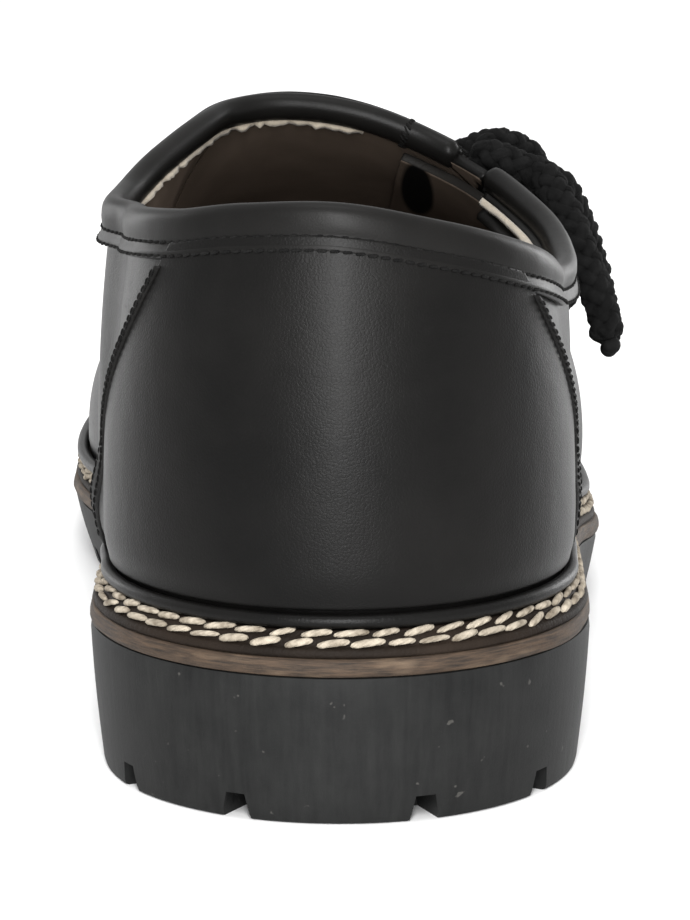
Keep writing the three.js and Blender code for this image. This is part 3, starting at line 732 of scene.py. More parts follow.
def braid(name, points, diameter=LACE, lay=12.5, around=9):
    """Round cord of eight plaits, four each way, over and under one another, drawn together at its ends."""
    path, length = curve(points)
    ahead = unit(np.gradient(path, axis=0))
    side = unit(np.cross(ahead[0], (0, 0, 1)))
    sides = []
    for direction in ahead:
        side = unit(side - direction * np.dot(side, direction))
        sides.append(side)
    sides = np.array(sides)
    ups = np.cross(ahead, sides)
    run = np.linspace(0, length, len(path))
    thick = 0.165 * diameter
    closing = np.ones_like(run)
    for gone in (run, length - run):
        closing *= np.sqrt(np.clip(1 - np.clip(1 - gone / (0.42 * diameter), 0, 1) ** 2, 0.004, 1))
    mesh = bmesh.new()
    mesh.loops.layers.uv.new("UVMap")
    turn = np.linspace(0, 2 * math.pi, around + 1)
    for way in (-1, 1):
        for plait in range(4):
            angle = math.pi / 2 * plait + way * 2 * math.pi * run / lay
            weave = 0.36 * way * np.cos(8 * math.pi * run / lay)
            reach = (diameter / 2 - thick - 0.1 + weave) * closing
            out = sides * np.cos(angle)[:, None] + ups * np.sin(angle)[:, None]
            centre = path + out * reach[:, None]
            along = unit(np.gradient(centre, axis=0))
            across = unit(np.cross(along, out))
            loose = 1 + 0.13 * wavering(len(run), 3)
            tube = (
                centre[:, None]
                + across[:, None] * (1.16 * thick * (loose * closing)[:, None] * np.cos(turn))[..., None]
                + out[:, None] * (0.92 * thick * (loose * closing)[:, None] * np.sin(turn))[..., None]
            )
            strand = surface("plait", tube, (around, length))
            mesh.from_mesh(strand.data)
            bpy.data.objects.remove(strand)
    bmesh.ops.recalc_face_normals(mesh, faces=mesh.faces)
    return piece(name, mesh), path, length


def wavering(count, step):
    """Random numbers that change smoothly along a path."""
    knots = np.arange(0, count + step, step)
    return np.interp(np.arange(count), knots, draw.normal(size=len(knots)))


def build_lace_end(name, route):
    """A hanging end of the lace, with the frayed tip that closes it."""
    end, path, length = braid(name, HEART + np.array(route))
    mesh = bmesh.new()
    mesh.from_mesh(end.data)
    tip = bmesh.ops.create_uvsphere(mesh, u_segments=16, v_segments=10, radius=0.0016)["verts"]
    bmesh.ops.translate(mesh, verts=tip, vec=metres(path[-1] + 1.1 * unit(path[-1] - path[-4])))
    for vert in tip:
        for face in vert.link_faces:
            face.smooth = True
    mesh.to_mesh(end.data)
    mesh.free()
    dress(end, CORD_BLACK, [name])


for name, route in LACE_ENDS.items():
    build_lace_end(name, route)

# Upper


def form_tree():
    """The last as a mesh that rays can meet."""
    rises = np.concatenate([np.linspace(0, 1, 14)[:-1], 1 + np.linspace(0, 1, 70)])
    points = wall(*np.meshgrid(np.linspace(-3, 3, 721), rises))
    made = bmesh.new()
    bmesh.ops.create_grid(made, x_segments=points.shape[1] - 1, y_segments=points.shape[0] - 1, size=0.5)
    for vert, place in zip(made.verts, points.reshape(-1, 3)):
        vert.co = place
    made.normal_update()
    return BVHTree.FromBMesh(made)


FORM = form_tree()


def cast(origins, directions):
    """Points where rays meet the form, and the way it faces there."""
    hits = []
    for origin, direction in zip(origins, directions):
        hit = FORM.ray_cast(Vector(origin), Vector(direction))
        if hit[0] is None:
            hit = FORM.find_nearest(Vector(origin + direction * 12))
        hits.append(hit)
    return np.array([hit[0] for hit in hits]), np.array([hit[1] for hit in hits])


def eased(values, width=5):
    """A path's values smoothed along it."""
    kernel = np.hanning(2 * width + 3)[1:-1]
    kernel /= kernel.sum()
    padded = np.concatenate([values[:1].repeat(width, 0), values, values[-1:].repeat(width, 0)])
    return np.stack([np.convolve(padded[:, k], kernel, "valid") for k in range(values.shape[1])], -1)


def topline_height(points):
    """Height of the topline in the direction of points."""
    away = COLLAR_MIDDLE - points[..., :2]
    turn = np.degrees(np.arctan2(away[..., 0], away[..., 1])) % 360
    return COLLAR_BACK * column(COLLAR_ROWS, "height", turn)


def open_top(places):
    """The t at which each column of the wall ends, under the band."""
    t = np.linspace(1, 2, 401)
    s, t = np.meshgrid(places, t)
    points = wall(s, t)
    above = points[..., 2] - topline_height(points) + UNDER_BAND
    first = np.argmax(above > 0, axis=0)
    tops = np.full(len(places), 2.0)
    for k, i in enumerate(first):
        if i > 0:
            a, b = above[i - 1, k], above[i, k]
            tops[k] = lerp(t[i - 1, k], t[i, k], a / (a - b))
    return tops


# Creases: ends in plan, depth, width
CREASES = [
    ((-36, 176), (-4, 190), 0.9, 4.2),
    ((-2, 190), (34, 178), 0.8, 4.0),
    ((-30, 190), (0, 203), 0.55, 3.4),
    ((4, 202), (32, 192), 0.5, 3.2),
    ((-40, 160), (-14, 172), 0.6, 4.0),
    ((16, 170), (40, 160), 0.55, 3.6),
    ((-44, 118), (-36, 138), 0.5, 5.0),
    ((38, 128), (44, 146), 0.45, 4.5),
    ((-46, 84), (-38, 96), 0.4, 5.0),
]


def crease_depth(points):
    """Soft troughs with a low ridge on each side."""
    depth = np.zeros(points.shape[:-1])
    for start, end, deep, wide in CREASES:
        a, b = np.array(start), np.array(end)
        along = (b - a) / np.linalg.norm(b - a)
        off = points[..., :2] - a
        run = np.clip(off @ along, 0, np.linalg.norm(b - a))
        across = np.linalg.norm(off - run[..., None] * along, axis=-1)
        trough = hump(across, wide / 2) - 0.55 * hump(across - wide * 0.95, wide * 0.5)
        depth -= deep * trough
    return depth


SLIT_START = np.array([0.205 * BALL_WIDTH, 0.335 * LENGTH])
SLIT_ALONG = unit(np.array([0.2, 0.98]))
SLIT_FACES = unit(np.array([0.58, 0.2, 0.79]))


def slit_frame():
    """The slit's start on the form, and the ways along and across it."""
    centre = SLIT_START + 0.5 * SLIT_LENGTH * np.array([SLIT_ALONG[0], 1])
    middle, _ = cast(np.array([(*centre, 300)]), np.array([(0, 0, -1)]))
    along = np.array([*SLIT_ALONG, 0])
    along = unit(along - SLIT_FACES * np.dot(SLIT_FACES, along))
    across = -np.cross(SLIT_FACES, along)
    return middle[0] - 0.5 * SLIT_LENGTH * along, along, across


SLIT_ORIGIN, SLIT_RUN, SLIT_SIDE = slit_frame()


def slit_half(along):
    """Half the slit's width at distances along it."""
    shares = [-0.5, 0, 0.35, 0.8, 0.95, 1, 1.001]
    halves = [0.7, 0.8, 1, 1, 0.7, 0, -1]
    return np.interp(along / SLIT_LENGTH, shares, halves) * (SLIT_WIDTH / 2)


def beside_slit(points):
    """Distances of points along and across the slit."""
    away = points - SLIT_ORIGIN
    return away @ SLIT_RUN, away @ SLIT_SIDE


def build_upper():
    dense = np.concatenate([np.linspace(-1.5, -1.2, 60), np.linspace(1.2, 1.5, 60)])
    places = np.unique(np.concatenate([even_places(300)[0], dense]))
    tops = open_top(places)
    rises = np.concatenate([np.linspace(0, 0.5, 16)[:-1], np.linspace(0.5, 1, 46)])
    s = places[None, :].repeat(len(rises), 0)
    t = np.where(rises[:, None] < 0.5, rises[:, None] * 2, 1 + (tops[None, :] - 1) * (rises[:, None] * 2 - 1))
    points = wall(s, t)
    outward = unit(points * (1, 0, 1) - (0, 0, 30))
    points = points + outward * crease_depth(points)[..., None]
    made = surface("upper", points, (690, 130))
    mesh = bmesh.new()
    mesh.from_mesh(made.data)
    gone = []
    for face in mesh.faces:
        centre = np.array(face.calc_center_median()) * 1000 + MIDDLE
        along, across = beside_slit(centre)
        if centre[2] > 45 and abs(across) < slit_half(along) + 0.7 and -12 < along < SLIT_LENGTH:
            gone.append(face)
    bmesh.ops.delete(mesh, geom=gone, context="FACES")
    mesh.to_mesh(made.data)
    mesh.free()
    thicken(made, WALL, inside=1)
    dress(made, [BLACK, LINING], ["upper"])


build_upper()

# Topline: the band runs from one side of the slit round the heel to the other
MOUTH = (212.5, 564.5)
TURNS = np.linspace(*MOUTH, 360)


def topline():
    """The form's points on the topline, the way it faces, and the way down along it."""
    turn = np.radians(TURNS)
    heights = COLLAR_BACK * column(COLLAR_ROWS, "height", TURNS % 360)
    outward = np.stack([-np.sin(turn), -np.cos(turn), 0 * turn], -1)
    origins = np.stack([0 * turn + COLLAR_MIDDLE[0], 0 * turn + COLLAR_MIDDLE[1], heights], -1)
    points, faces = cast(origins, outward)
    faces = np.where((faces * outward).sum(-1, keepdims=True) < 0, -faces, faces)
    points = eased(points, 2)
    faces = unit(eased(faces, 9))
    ahead = unit(np.gradient(points, axis=0))
    down = unit(np.cross(faces, ahead))
    down = np.where(down[:, 2:] > 0, -down, down)
    return points, faces, down


TOP, TOP_FACES, TOP_DOWN = topline()
BAND_WIDTHS = BAND_WIDTH * column(COLLAR_ROWS, "band", TURNS % 360)[:, None]


def below_topline(distance, offset):
    """Points a distance down the wall from the topline, and an offset out of it."""
    distance = distance * np.ones((len(TOP), 1))
    start = TOP + TOP_DOWN * distance
    if np.min(distance) > 0.4:
        points, _ = cast(start + TOP_FACES * 12, -TOP_FACES)
        start = eased(points, 3)
    return start + TOP_FACES * offset


def build_band():
    """The padded band, from distances below the topline and offsets out of it."""
    w = BAND_WIDTHS
    puffs = 0.1 * wavering(len(TOP), 9)[:, None]
    profile = [
        (w + 0.1, 0.25),
        (w + 0.3, 0.8),
        (w + 0.1 + 0.5 * puffs, 1.42),
        (w - 0.4 + 0.5 * puffs, 1.72),
        (w - 0.9, 1.55),
        (w - 1.7, 1.35),
        (w - 2.3, 1.15),
        (w - 2.9, 1.35 + puffs),
        (w * 0.42, 1.62 + puffs),
        (w * 0.25, 1.68 + puffs),
        (1.1, 1.6),
        (0.5, 1.36),
        (-0.15, 0.9),
        (-0.55, 0.2),
        (-0.68, -0.6),
        (-0.5, -1.4),
        (0.0, -2.1),
        (0.8, -2.6),
        (1.7, -2.85 + 0.5 * puffs),
        (2.7, -2.8),
        (3.5, -2.6),
        (4.0, -2.4),
        (4.1, -2.1),
    ]
    ring = np.array([below_topline(d, o) for d, o in profile])
    heart = 0.5 * (ring[8] + ring[18])
    run = np.concatenate([[0], np.cumsum(np.linalg.norm(np.diff(TOP, axis=0), axis=1))])
    closing = np.sqrt(np.clip(1 - np.clip(1 - np.minimum(run, run[-1] - run) / 1.8, 0, 1) ** 2, 0.2, 1))
    ring = heart + (ring - heart) * closing[:, None]
    made = surface("collar_band", np.concatenate([ring, ring[:1]]), (330, 26))
    end = ring[6:, -12]
    ties = stitches("band_end_ties", [(end, unit(end - heart[-12]))], 0.9, 1.5, 0.42, slant=1.3, wander=0.3)
    dress(ties, BLACK_THREAD)
    turn_out(made, fill=True)
    dress(made, BAND_BLACK, ["collar_band"])


build_band()

band_rows = [(below_topline(BAND_WIDTHS - up, out), TOP_FACES) for up, out in ((2.35, 1.24), (0.1, 1.72))]
band_thread = stitches("band_stitches", band_rows, 2.0, 0.8, 0.5, slant=0.12)
dress(band_thread, BLACK_THREAD)


# Raw edges inside: the lining's from the inner side to the instep's middle, the flap's beside the slit
LINING_RUN = np.flatnonzero((TURNS > 420) & (TURNS < 546))
FLAP_RUN = np.flatnonzero((TURNS > 214) & (TURNS < 272))


def build_strip(name, run, profile, span, finish):
    """A strip inside the roll, from distances below the topline and offsets out of it."""
    ring = [below_topline(d, o)[run] for d, o in profile]
    made = surface(name, np.array(ring + ring[:1]), span)
    turn_out(made, fill=True)
    dress(made, finish)


def build_lining_edge():
    """Raw pale edge of the lining, under the roll inside."""
    ragged = (0.32 * wavering(len(TOP), 1.2) + 0.36 * wavering(len(TOP), 8))[:, None]
    frayed = 0.3 * wavering(len(TOP), 1.2)[:, None]
    profile = [
        (3.7, -2.0),
        (3.8, -2.6 + frayed),
        (4.4, -3.1 + frayed),
        (4.75 + ragged, -2.7),
        (4.85 + ragged, -2.0),
    ]
    build_strip("lining_edge", LINING_RUN, profile, (330, 5), RAW)


build_lining_edge()


def build_flap_edge():
    """Leather inside the roll by the slit: a black ply, its thick raw edge, and a thin second ply."""
    ragged = (0.3 * wavering(len(TOP), 1.5) + 0.35 * wavering(len(TOP), 9))[:, None]
    under = [(3.0, -2.2), (2.8, -3.0), (3.4, -4.3), (4.4, -4.3), (4.6, -2.2)]
    raw = [(3.2, -3.9), (2.9 + ragged, -4.3), (3.1 + ragged, -4.9), (3.9 + ragged, -5.0), (4.4, -3.9)]
    second = [(5.2, -2.2), (5.4, -5.9), (5.7 + ragged, -6.6), (6.5 + ragged, -6.4), (6.9, -2.2)]
    for name, profile, slot, finish in (
        ("flap_leather", under, "upper_leather", BAND_BLACK),
        ("flap_edge", raw, "lining_leather", RAW),
        ("flap_lining", second, "upper_leather", BAND_BLACK),
    ):
        build_strip(name, FLAP_RUN, profile, (60, 6), finish)


build_flap_edge()


# Counter


def counter_front(side):
    """Place at which the counter ends, by height."""
    heights = np.linspace(28, 100, 73)
    wanted = column(COUNTER_SEAM, "along", heights)

    def beyond(s):
        return wall(side * s, rise_to(side * s, heights))[..., 1] > wanted

    return heights, crossing(beyond, 0 * heights, 0 * heights + 1.5, 24)


COUNTER_FRONT = {side: counter_front(side) for side in (-1, 1)}


def counter_points(u, v, offset):
    """Points of the counter: u across it from -1 on the inner side to 1, v up from its foot to the band."""
    z = lerp(34.0, 88.0, v)
    for _ in range(8):
        s = u * np.where(u < 0, np.interp(z, *COUNTER_FRONT[-1]), np.interp(z, *COUNTER_FRONT[1]))
        points = wall(s, rise_to(s, z))
        low = seam_height(edge(s)[1]) + WELT_INNER + BEAD + 0.9
        high = topline_height(points) - BAND_WIDTH + 2.6
        z = lerp(low, high, v)
    t = rise_to(s, z)
    faces = wall_faces(s, t)
    return wall(s, t) + faces * np.asarray(offset)[..., None], faces


def build_counter():
    u, v = np.meshgrid(np.linspace(-1, 1, 181), np.linspace(0, 1, 81))
    foot = -0.45 * hump(v, 0.05)
    points, _ = counter_points(u, v, GAP + OVERLAY + foot)
    made = surface("counter", points, (150, 60))
    thicken(made, OVERLAY, rounded=0.4)
    dress(made, BLACK, ["counter"])


build_counter()


def counter_lines():
    """Lines of stitches beside the counter's front seams."""
    v = np.linspace(0.02, 0.92, 120)
    lines = []
    for side in (-1, 1):
        for back in (0.002, 0.019):
            lines.append(counter_points(side * (1 - back) + 0 * v, v, GAP + OVERLAY + 0.55 + 0 * v))
    return lines


# Section of a raised seam: share of the counter's width behind its front, and height
RIDGE = [
    (-0.01, -0.6),
    (-0.008, 0.2),
    (-0.001, 0.5),
    (0.01, 0.58),
    (0.021, 0.46),
    (0.028, 0.05),
    (0.028, -0.6),
]


def build_counter_ridges():
    """The counter's front seams, raised and dark."""
    v = np.linspace(0.0, 0.93, 140)
    for side, name in ((-1, "inner"), (1, "outer")):
        ring = []
        for back, lift in RIDGE:
            lumps = 0.07 * wavering(len(v), 3) if lift > 0.2 else 0 * v
            ring.append(counter_points(side * (1 - back) + 0 * v, v, GAP + OVERLAY + lift + lumps)[0])
        made = surface(f"counter_ridge_{name}", np.array(ring + ring[:1]), (60, 6))
        turn_out(made, fill=True)
        dress(made, RIDGE_BLACK)


build_counter_ridges()
dress(stitches("counter_stitches", counter_lines(), 1.7, 0.8, 0.36, slant=0.2), BLACK_THREAD)


# Facing, tongue and lace bars


def over_slit(along, across, offset):
    """Points on the form by distances along and across the slit."""
    start = SLIT_ORIGIN + along[..., None] * SLIT_RUN + across[..., None] * SLIT_SIDE
    flat = start.reshape(-1, 3) + SLIT_FACES * 40
    points, faces = cast(flat, np.broadcast_to(-SLIT_FACES, flat.shape))
    points = points.reshape(start.shape)
    faces = faces.reshape(start.shape)
    faces = np.where((faces @ SLIT_FACES)[..., None] < 0, -faces, faces)
    return points + faces * np.asarray(offset)[..., None], faces


def slit_loop(margin, count=121):
    """Distances along and across the slit on an outline round it: two straight sides and an oval end."""
    end = SLIT_LENGTH + margin
    half = SLIT_WIDTH / 2 + margin
    turn = np.linspace(-1, 1, count)
    run = (1 - np.abs(turn)) * 1.12 - 0.02
    straight = 0.86
    bend = np.clip((run - straight) / 0.24, 0, 1) * math.pi / 2
    along = end * np.where(run > straight, straight + (1 - straight) * np.sin(bend), run)
    across = half * np.where(run > straight, np.cos(bend), 1)
    across = across * np.interp(along / end, [0, 0.35], [0.8, 1])
    return along, across * np.sign(turn)


def first_below(across, drop):
    """Distances along the slit at which the form is a drop below the topline."""
    first = np.full(across.shape, -14.0)
    for _ in range(12):
        points, _ = over_slit(first, across, 0 * first)
        first = first + np.clip(points[..., 2] - topline_height(points) + drop, -4, 4) * 0.8
        first = np.clip(first, -20, 30)
    return first


def build_facing():
    points = []
    for margin in (-0.5, 0.2, 2, 4, 6, 8, 10, 11.6, 12):
        along, across = slit_loop(margin)
        along = np.maximum(along, first_below(across, 0.75 * BAND_WIDTH))
        points.append(over_slit(along, across, GAP + OVERLAY + 0 * along)[0])
    made = surface("lacing_facing", np.array(points), (180, 12), flip=True)
    thicken(made, OVERLAY, rounded=0.35)
    dress(made, BLACK, ["lacing_facing"])


build_facing()


def build_tongue():
    share, across = np.meshgrid(np.linspace(0, 1, 60), np.linspace(-19, 15, 44))
    first = first_below(across[:, 0], 3.4)
    along = lerp(first[:, None], SLIT_LENGTH + 12, share)
    points, _ = over_slit(along, across, -WALL - 0.6 + 0 * along)
    made = surface("tongue", points, (80, 34), flip=True)
    thicken(made, TONGUE, inside=1, rounded=0.4)
    dress(made, [TONGUE_BLACK, TONGUE_LINING], ["tongue"])


build_tongue()


def eyelets():
    """Pairs of points on the form, and the way it faces there, from the mouth to the slit's end."""
    made = []
    for row in range(EYELET_ROWS):
        plan = SLIT_START + SLIT_ALONG * (FIRST_EYELET + row * EYELET_PITCH)
        point, faces = cast(np.array([(*plan, 300)]), np.array([(0, 0, -1)]))
        across = unit(np.cross([*SLIT_ALONG, 0], faces[0]))
        origins = [point[0] + across * side * EYELET_SPREAD / 2 + faces[0] * 30 for side in (-1, 1)]
        made.append(cast(origins, [-faces[0]] * 2))
    return made


EYELETS = eyelets()


def build_bars():
    for row, (points, faces) in enumerate(EYELETS[1:], 1):
        above = GAP + OVERLAY + GAP + LACE / 2 + 0.6
        middle = points.mean(0)
        lift = unit(faces.sum(0))
        inner = [lerp(points[k] + faces[k] * above, middle + lift * (above + 1), 0.25) for k in (0, 1)]
        route = [
            points[0] - faces[0] * 1.5,
            points[0] + faces[0] * 0.55 * above,
            inner[0],
            middle + lift * (above + 1.2),
            inner[1],
            points[1] + faces[1] * 0.55 * above,
            points[1] - faces[1] * 1.5,
        ]
        bar, _, _ = braid(f"lace_bar_{row}", route)
        dress(bar, CORD_BLACK, [f"lace_bar_{row}"])


build_bars()


def build_knot():
    points, faces = EYELETS[0]
    turns = [
        (-5.6, 1.6, 3.0),
        (-2.2, 0.6, 4.3),
        (2.0, 1.6, 3.5),
        (5.4, 2.6, 0.6),
        (5, 0.6, -2.6),
        (0.5, -1.2, -1.4),
        (-3.2, -3.2, 1.2),
        (-3, -6.6, 3.4),
        (0.4, -8.4, 2.5),
        (4, -7.8, 0.6),
        (5.4, -4.4, -2.2),
    ]
    route = [
        points[0] - faces[0] * 1.5,
        *(HEART + np.array(turns)),
        points[1] + faces[1] * 4.5,
        points[1] - faces[1] * 1.5,
    ]
    knot, _, _ = braid("lace_knot", route)
    dress(knot, CORD_BLACK, ["lace_knot"])


build_knot()

# Sole

PLACES, RING = even_places(360)
OUTWARD = inset(PLACES, 0)[2]
OUTWARD = np.concatenate([OUTWARD, 0 * OUTWARD[:, :1]], 1)
UP = np.array([0, 0, 1])


def ring_surface(name, profile, span):
    """A closed ring round the shoe from a closed profile of point arrays."""
    made = surface(name, np.array(profile + profile[:1]), (RING, span))
    turn_out(made)
    return made


def drawn_in(distance, share):
    """Plan of the ring inside the sole's edge, drawn in to its middle line where the share is 0."""
    x, y, _ = inset(PLACES, distance)
    mirror = inset(-PLACES, distance)
    return lerp((x + mirror[0]) / 2, x, share), lerp((y + mirror[1]) / 2, y, share)


def on_seam(distance, height):
    """Ring inside the sole's edge, at a height above the seam."""
    x, y, _ = inset(PLACES, distance)
    return np.stack([x, y, seam_height(y) + height], -1)


def ring_noise(step, size):
    """Smooth random numbers once round the shoe."""
    count = max(len(PLACES) // step, 4)
    values = draw.normal(size=count)
    at = np.linspace(0, count, len(PLACES)) % count
    return size * np.interp(at, np.arange(count + 1), np.append(values, values[0]))


def build_midsole():
    rough = ring_noise(3, 0.12) + ring_noise(11, 0.12)

    def ring(distance, height, share):
        px, py, _ = inset(PLACES, distance - share * rough)
        return np.stack([px, py, rubber_top(py) + height], -1)

    profile = [
        ring(14, 0.05, 0),
        ring(0.5, 0.05, 0.3),
        ring(0.1, 0.25, 1),
        ring(-0.12, 0.9, 1),
        ring(-0.1, 1.7, 1),
        ring(0.05, 2.4, 1),
        ring(0.35, 2.85, 0.6),
        ring(0.9, 2.98, 0.2),
        ring(14, 2.98, 0),
    ]
    made = ring_surface("midsole", profile, 8)
    dress(made, CUT_LEATHER, ["midsole"])


build_midsole()


def build_welt():
    rough = ring_noise(2, 0.07)
    foot = wall_above(PLACES, 0.1)
    inner = wall_above(PLACES, WELT_INNER)
    foot = foot + OUTWARD * 0.5
    inner = inner + OUTWARD * 0.5
    crown = inner + OUTWARD * 0.6 * BEAD
    shoulder = on_seam(WELT_REVEAL + 0.8, WELT_EDGE)

    def slope(share, lift):
        return lerp(shoulder, crown, share) + OUTWARD * (0.55 * lift) + UP * (0.85 * lift)

    profile = [
        foot,
        on_seam(1.2, -0.2),
        on_seam(WELT_REVEAL + 0.1, -0.15),
        on_seam(WELT_REVEAL - 0.1, 0.35) + OUTWARD * rough[:, None],
        on_seam(WELT_REVEAL + 0.05, 0.9) + OUTWARD * rough[:, None],
        on_seam(WELT_REVEAL + 0.4, 1.25),
        shoulder,
        slope(0.2, -0.12),
        slope(0.38, 0.1),
        slope(0.55, 0.12),
        slope(0.75, -0.1),
        slope(0.92, 0.0),
        crown,
        inner + UP * 0.2,
    ]
    made = ring_surface("welt", profile, 12)
    dress(made, WELT_DARK, ["welt"])
    faces = unit(OUTWARD * 0.86 + UP * 0.52)
    lines = [(slope(share, 0.28), faces) for share in (0.2, 0.78)]
    seam = stitches("welt_stitches", lines, WELT_STITCH, 0.96, 1.15, slant=0.16, arch=0.35, wander=0.08)
    dress(seam, CREAM_THREAD)


build_welt()


def build_rand():
    radius = BEAD / 2
    centre = wall_above(PLACES, WELT_INNER + GAP + radius) + OUTWARD * (radius + 0.45)
    swell = (1 + ring_noise(4, 0.02))[:, None]
    profile = []
    for turn in np.linspace(0, 2 * math.pi, 14, endpoint=False):
        profile.append(centre + (OUTWARD * math.sin(turn) - UP * math.cos(turn)) * radius * swell)
    made = ring_surface("storm_rand", profile, 8)
    dress(made, BLACK, ["storm_rand"])


build_rand()


def build_insole():
    points = []
    for share in np.linspace(1, 0, 14):
        x, y = drawn_in(FLANGE + WALL + 0.5, share)
        points.append(np.stack([x, y, seam_height(y) + INSOLE - 0.8 * (1 - share**4)], -1))
    made = surface("insole", np.array(points), (600, 40))
    thicken(made, 2.4)
    dress(made, LINING, ["insole"])


build_insole()


def outsole_blank():
    """The rubber's full block, with its taper and toe spring, before notches, arch and tread are cut."""
    corner = SOLE_CORNER
    taper = lerp(HEEL_TAPER, FOREFOOT_TAPER, smooth((edge(PLACES)[1] - HEEL_LENGTH) / ARCH_LENGTH))

    def ring(distance, height):
        x, y, _ = inset(PLACES, distance)
        return np.stack([x, y, height + spring(y)], -1)

    def filled(distance, share, height_at):
        x, y = drawn_in(distance, share)
        return np.stack([x, y, height_at(y)], -1)

    y = inset(PLACES, 0)[1]
    top = rubber_top(y) - spring(y)
    rows_up = [filled(taper + corner, share, spring) for share in (0, 0.35, 0.7)]
    rows_up += [
        ring(taper + corner, 0),
        ring(taper + 0.3 * corner, 0.3 * corner),
        ring(taper, 1.3 * corner),
    ]
    for share in np.linspace(0.15, 0.93, 7):
        swell = 0.25 * math.sin(math.pi * share)
        rows_up.append(ring(taper * (1 - share) - swell, lerp(1.3 * corner, top, share)))
    rows_up += [
        ring(0.25, top - 0.15),
        ring(0.8, top),
        filled(0.8, 0.6, rubber_top),
        filled(0.8, 0, rubber_top),
    ]
    made = surface("outsole", np.array(rows_up), (RING, 60))
    turn_out(made)
    return made


def block(mesh, corners):
    """A box-like solid from eight corners, low ring then high ring."""
    order = [(-1, -1), (1, -1), (1, 1), (-1, 1)]
    for vert in bmesh.ops.create_cube(mesh, size=2)["verts"]:
        x, y, z = (round(c) for c in vert.co)
        vert.co = metres(corners[order.index((x, y)) + (4 if z > 0 else 0)])


def notch_cut(mesh, x, y, out):
    """A notch in the edge, wider at the floor."""
    inward = -np.array([*out, 0])
    across = np.array([-inward[1], inward[0], 0])
    start = np.array([x, y, float(spring(np.array(y)))])
    half = NOTCH_WIDTH / 2
    corners = []
    for height, wide in ((-2, 1.35), (LUG_DEPTH, 0.75)):
        for side, depth in ((-1, -2), (1, -2), (1, NOTCH_LENGTH), (-1, NOTCH_LENGTH)):
            corners.append(start + across * side * wide * half + inward * depth + UP * height)
    block(mesh, corners)


# Notches: degrees round the heel's back, shares of the length on both sides, degrees round the toe
HEEL_NOTCHES = (-60, -25, 20, 55)
SIDE_NOTCHES = (0.2, 0.26, 0.51, 0.57, 0.63, 0.69)
TOE_NOTCHES = (-65, -40, -14, 14, 40, 65)


def notch_places():
    """The notches as places round the sole."""
    places = [turn / 90 for turn in HEEL_NOTCHES]
    for share in SIDE_NOTCHES:
        place = 1 + (share * LENGTH - HEEL_ROUND) / (LENGTH - TOE_ROUND - HEEL_ROUND)
        places += [-place, place]
    return places + [math.copysign(3 - abs(turn) / 90, turn) for turn in TOE_NOTCHES]


def build_outsole():
    made = outsole_blank()
    cuts = bmesh.new()
    for s in notch_places():
        x, y, out = inset(np.array(s), 0)
        notch_cut(cuts, float(x), float(y), out)
    bmesh.ops.recalc_face_normals(cuts, faces=cuts.faces)
    arch = arch_cut()
    carve(made, piece("notches", cuts))
    carve(made, arch)
    carve(made, channel_cut())
    carve(made, groove_cut())
    for polygon in made.data.polygons:
        polygon.use_smooth = True
    dress(made, RUBBER, ["outsole"], sharp=32)


def arch_cut():
    """A solid across the sole under its waist: the heel's breast, a round corner and a long curve down."""
    breast, end = HEEL_LENGTH, HEEL_LENGTH + ARCH_LENGTH
    outline = [(breast, -1), (breast + 1.5, ARCH_HEIGHT - 3)]
    corner = (breast + 1.5, ARCH_HEIGHT - 3), (breast + 2, ARCH_HEIGHT), (breast + 6, ARCH_HEIGHT)
    slope = (breast + 24, ARCH_HEIGHT), (end - 22, 0.55 * ARCH_HEIGHT), (end, -1)
    a, b, c = (np.array(point) for point in corner)
    outline += [(1 - t) ** 2 * a + 2 * t * (1 - t) * b + t * t * c for t in np.linspace(0, 1, 7)[1:]]
    a, b, d = (np.array(point) for point in slope)
    for t in np.linspace(0, 1, 17)[1:]:
        outline.append((1 - t) ** 3 * c + 3 * t * (1 - t) ** 2 * a + 3 * t * t * (1 - t) * b + t**3 * d)
    mesh = bmesh.new()
    ring = [mesh.verts.new(metres((-80, y, z))) for y, z in outline]
    face = mesh.faces.new(ring)
    grown = bmesh.ops.extrude_face_region(mesh, geom=[face])["geom"]
    bmesh.ops.translate(mesh, verts=[v for v in grown if isinstance(v, bmesh.types.BMVert)], vec=(0.16, 0, 0))
    bmesh.ops.recalc_face_normals(mesh, faces=mesh.faces)
    return piece("arch", mesh)


def channel_cut():
    """Grooves that part the edge lugs from the tread."""
    heel = np.linspace(-1.15, 1.15, 60)
    sides = [np.linspace(side * 1.62, side * 2.55, 50) for side in (-1, 1)]
    mesh = bmesh.new()
    for places in (heel, *sides):
        rings = []
        for distance, height in (
            (EDGE_LUG, -2),
            (EDGE_LUG, LUG_DEPTH),
            (EDGE_LUG + CHANNEL_WIDTH, LUG_DEPTH),
            (EDGE_LUG + CHANNEL_WIDTH, -2),
        ):
            x, y, _ = inset(places, distance)
            rings.append(np.stack([x, y, height + spring(y)], -1))
        strip = surface("strip", np.array(rings + rings[:1]))
        turn_out(strip, fill=True)
        mesh.from_mesh(strip.data)
        bpy.data.objects.remove(strip)
    return piece("channel", mesh)


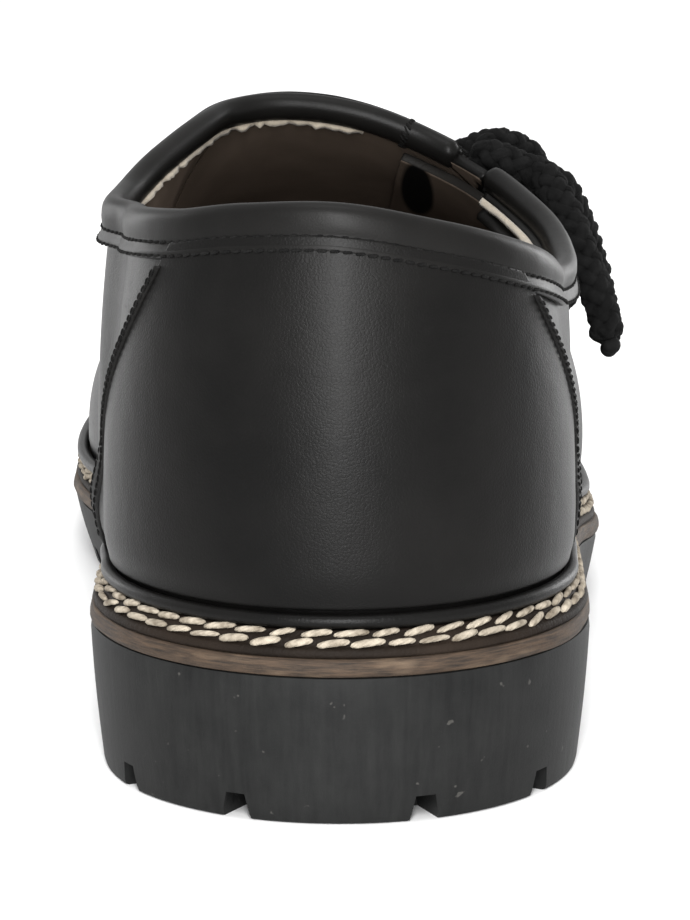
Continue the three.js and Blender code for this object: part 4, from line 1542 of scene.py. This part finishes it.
def groove_cut():
    """Straight grooves across the tread."""
    tread_start = HEEL_LENGTH + ARCH_LENGTH + 4
    spacing = 0.061 * LENGTH
    mesh = bmesh.new()
    lines = [(0.5 * HEEL_LENGTH, 0.2 * HEEL_WIDTH)]
    y = tread_start + spacing
    while y < 0.9 * LENGTH - spacing / 2:
        lines.append((y, 0.24 * BALL_WIDTH))
        y += spacing
    for y, half in lines:
        low = float(spring(np.array(y)))
        wide = CHANNEL_WIDTH / 2
        corners = []
        for z in (low - 2, low + LUG_DEPTH):
            corners += [(-half, y - wide, z), (half, y - wide, z), (half, y + wide, z), (-half, y + wide, z)]
        block(mesh, corners)
    return piece("grooves", mesh)


build_outsole()


# Floor and light


def set_stage():
    mesh = bmesh.new()
    bmesh.ops.create_circle(mesh, cap_ends=True, segments=64, radius=6)
    floor = piece("floor", mesh)
    pale = Finish("pale floor", Roughness=0.6, Base_Color=(0.9, 0.9, 0.9))
    floor.data.materials.append(pale.material)
    world = bpy.data.worlds.new("studio")
    world.use_nodes = True
    world.node_tree.nodes["Background"].inputs["Color"].default_value = (1, 1, 1, 1)
    world.node_tree.nodes["Background"].inputs["Strength"].default_value = 1.0
    bpy.context.scene.world = world
    for name, spot, aim, size, power in (
        ("overhead", (0.0, -0.1, 1.5), (0, 0, 0.05), (0.7, 0.7), 5),
        ("behind camera", (0.0, -1.2, 0.5), (0, -0.1, 0.06), (0.16, 1.0), 25),
        ("left", (-0.75, 0.75, 0.2), (0, 0, 0.05), (0.3, 0.5), 2.5),
        ("right", (0.75, 0.8, 0.2), (0, 0, 0.05), (0.3, 0.5), 4.5),
    ):
        lamp = bpy.data.lights.new(name, "AREA")
        lamp.shape = "RECTANGLE"
        lamp.size, lamp.size_y = size
        lamp.energy = power
        holder = bpy.data.objects.new(name, lamp)
        holder.location = spot
        holder.rotation_euler = (Vector(aim) - Vector(spot)).to_track_quat("-Z", "Y").to_euler()
        bpy.context.scene.collection.objects.link(holder)


set_stage()
bpy.context.scene.view_settings.view_transform = "Standard"

bpy.context.view_layer.update()
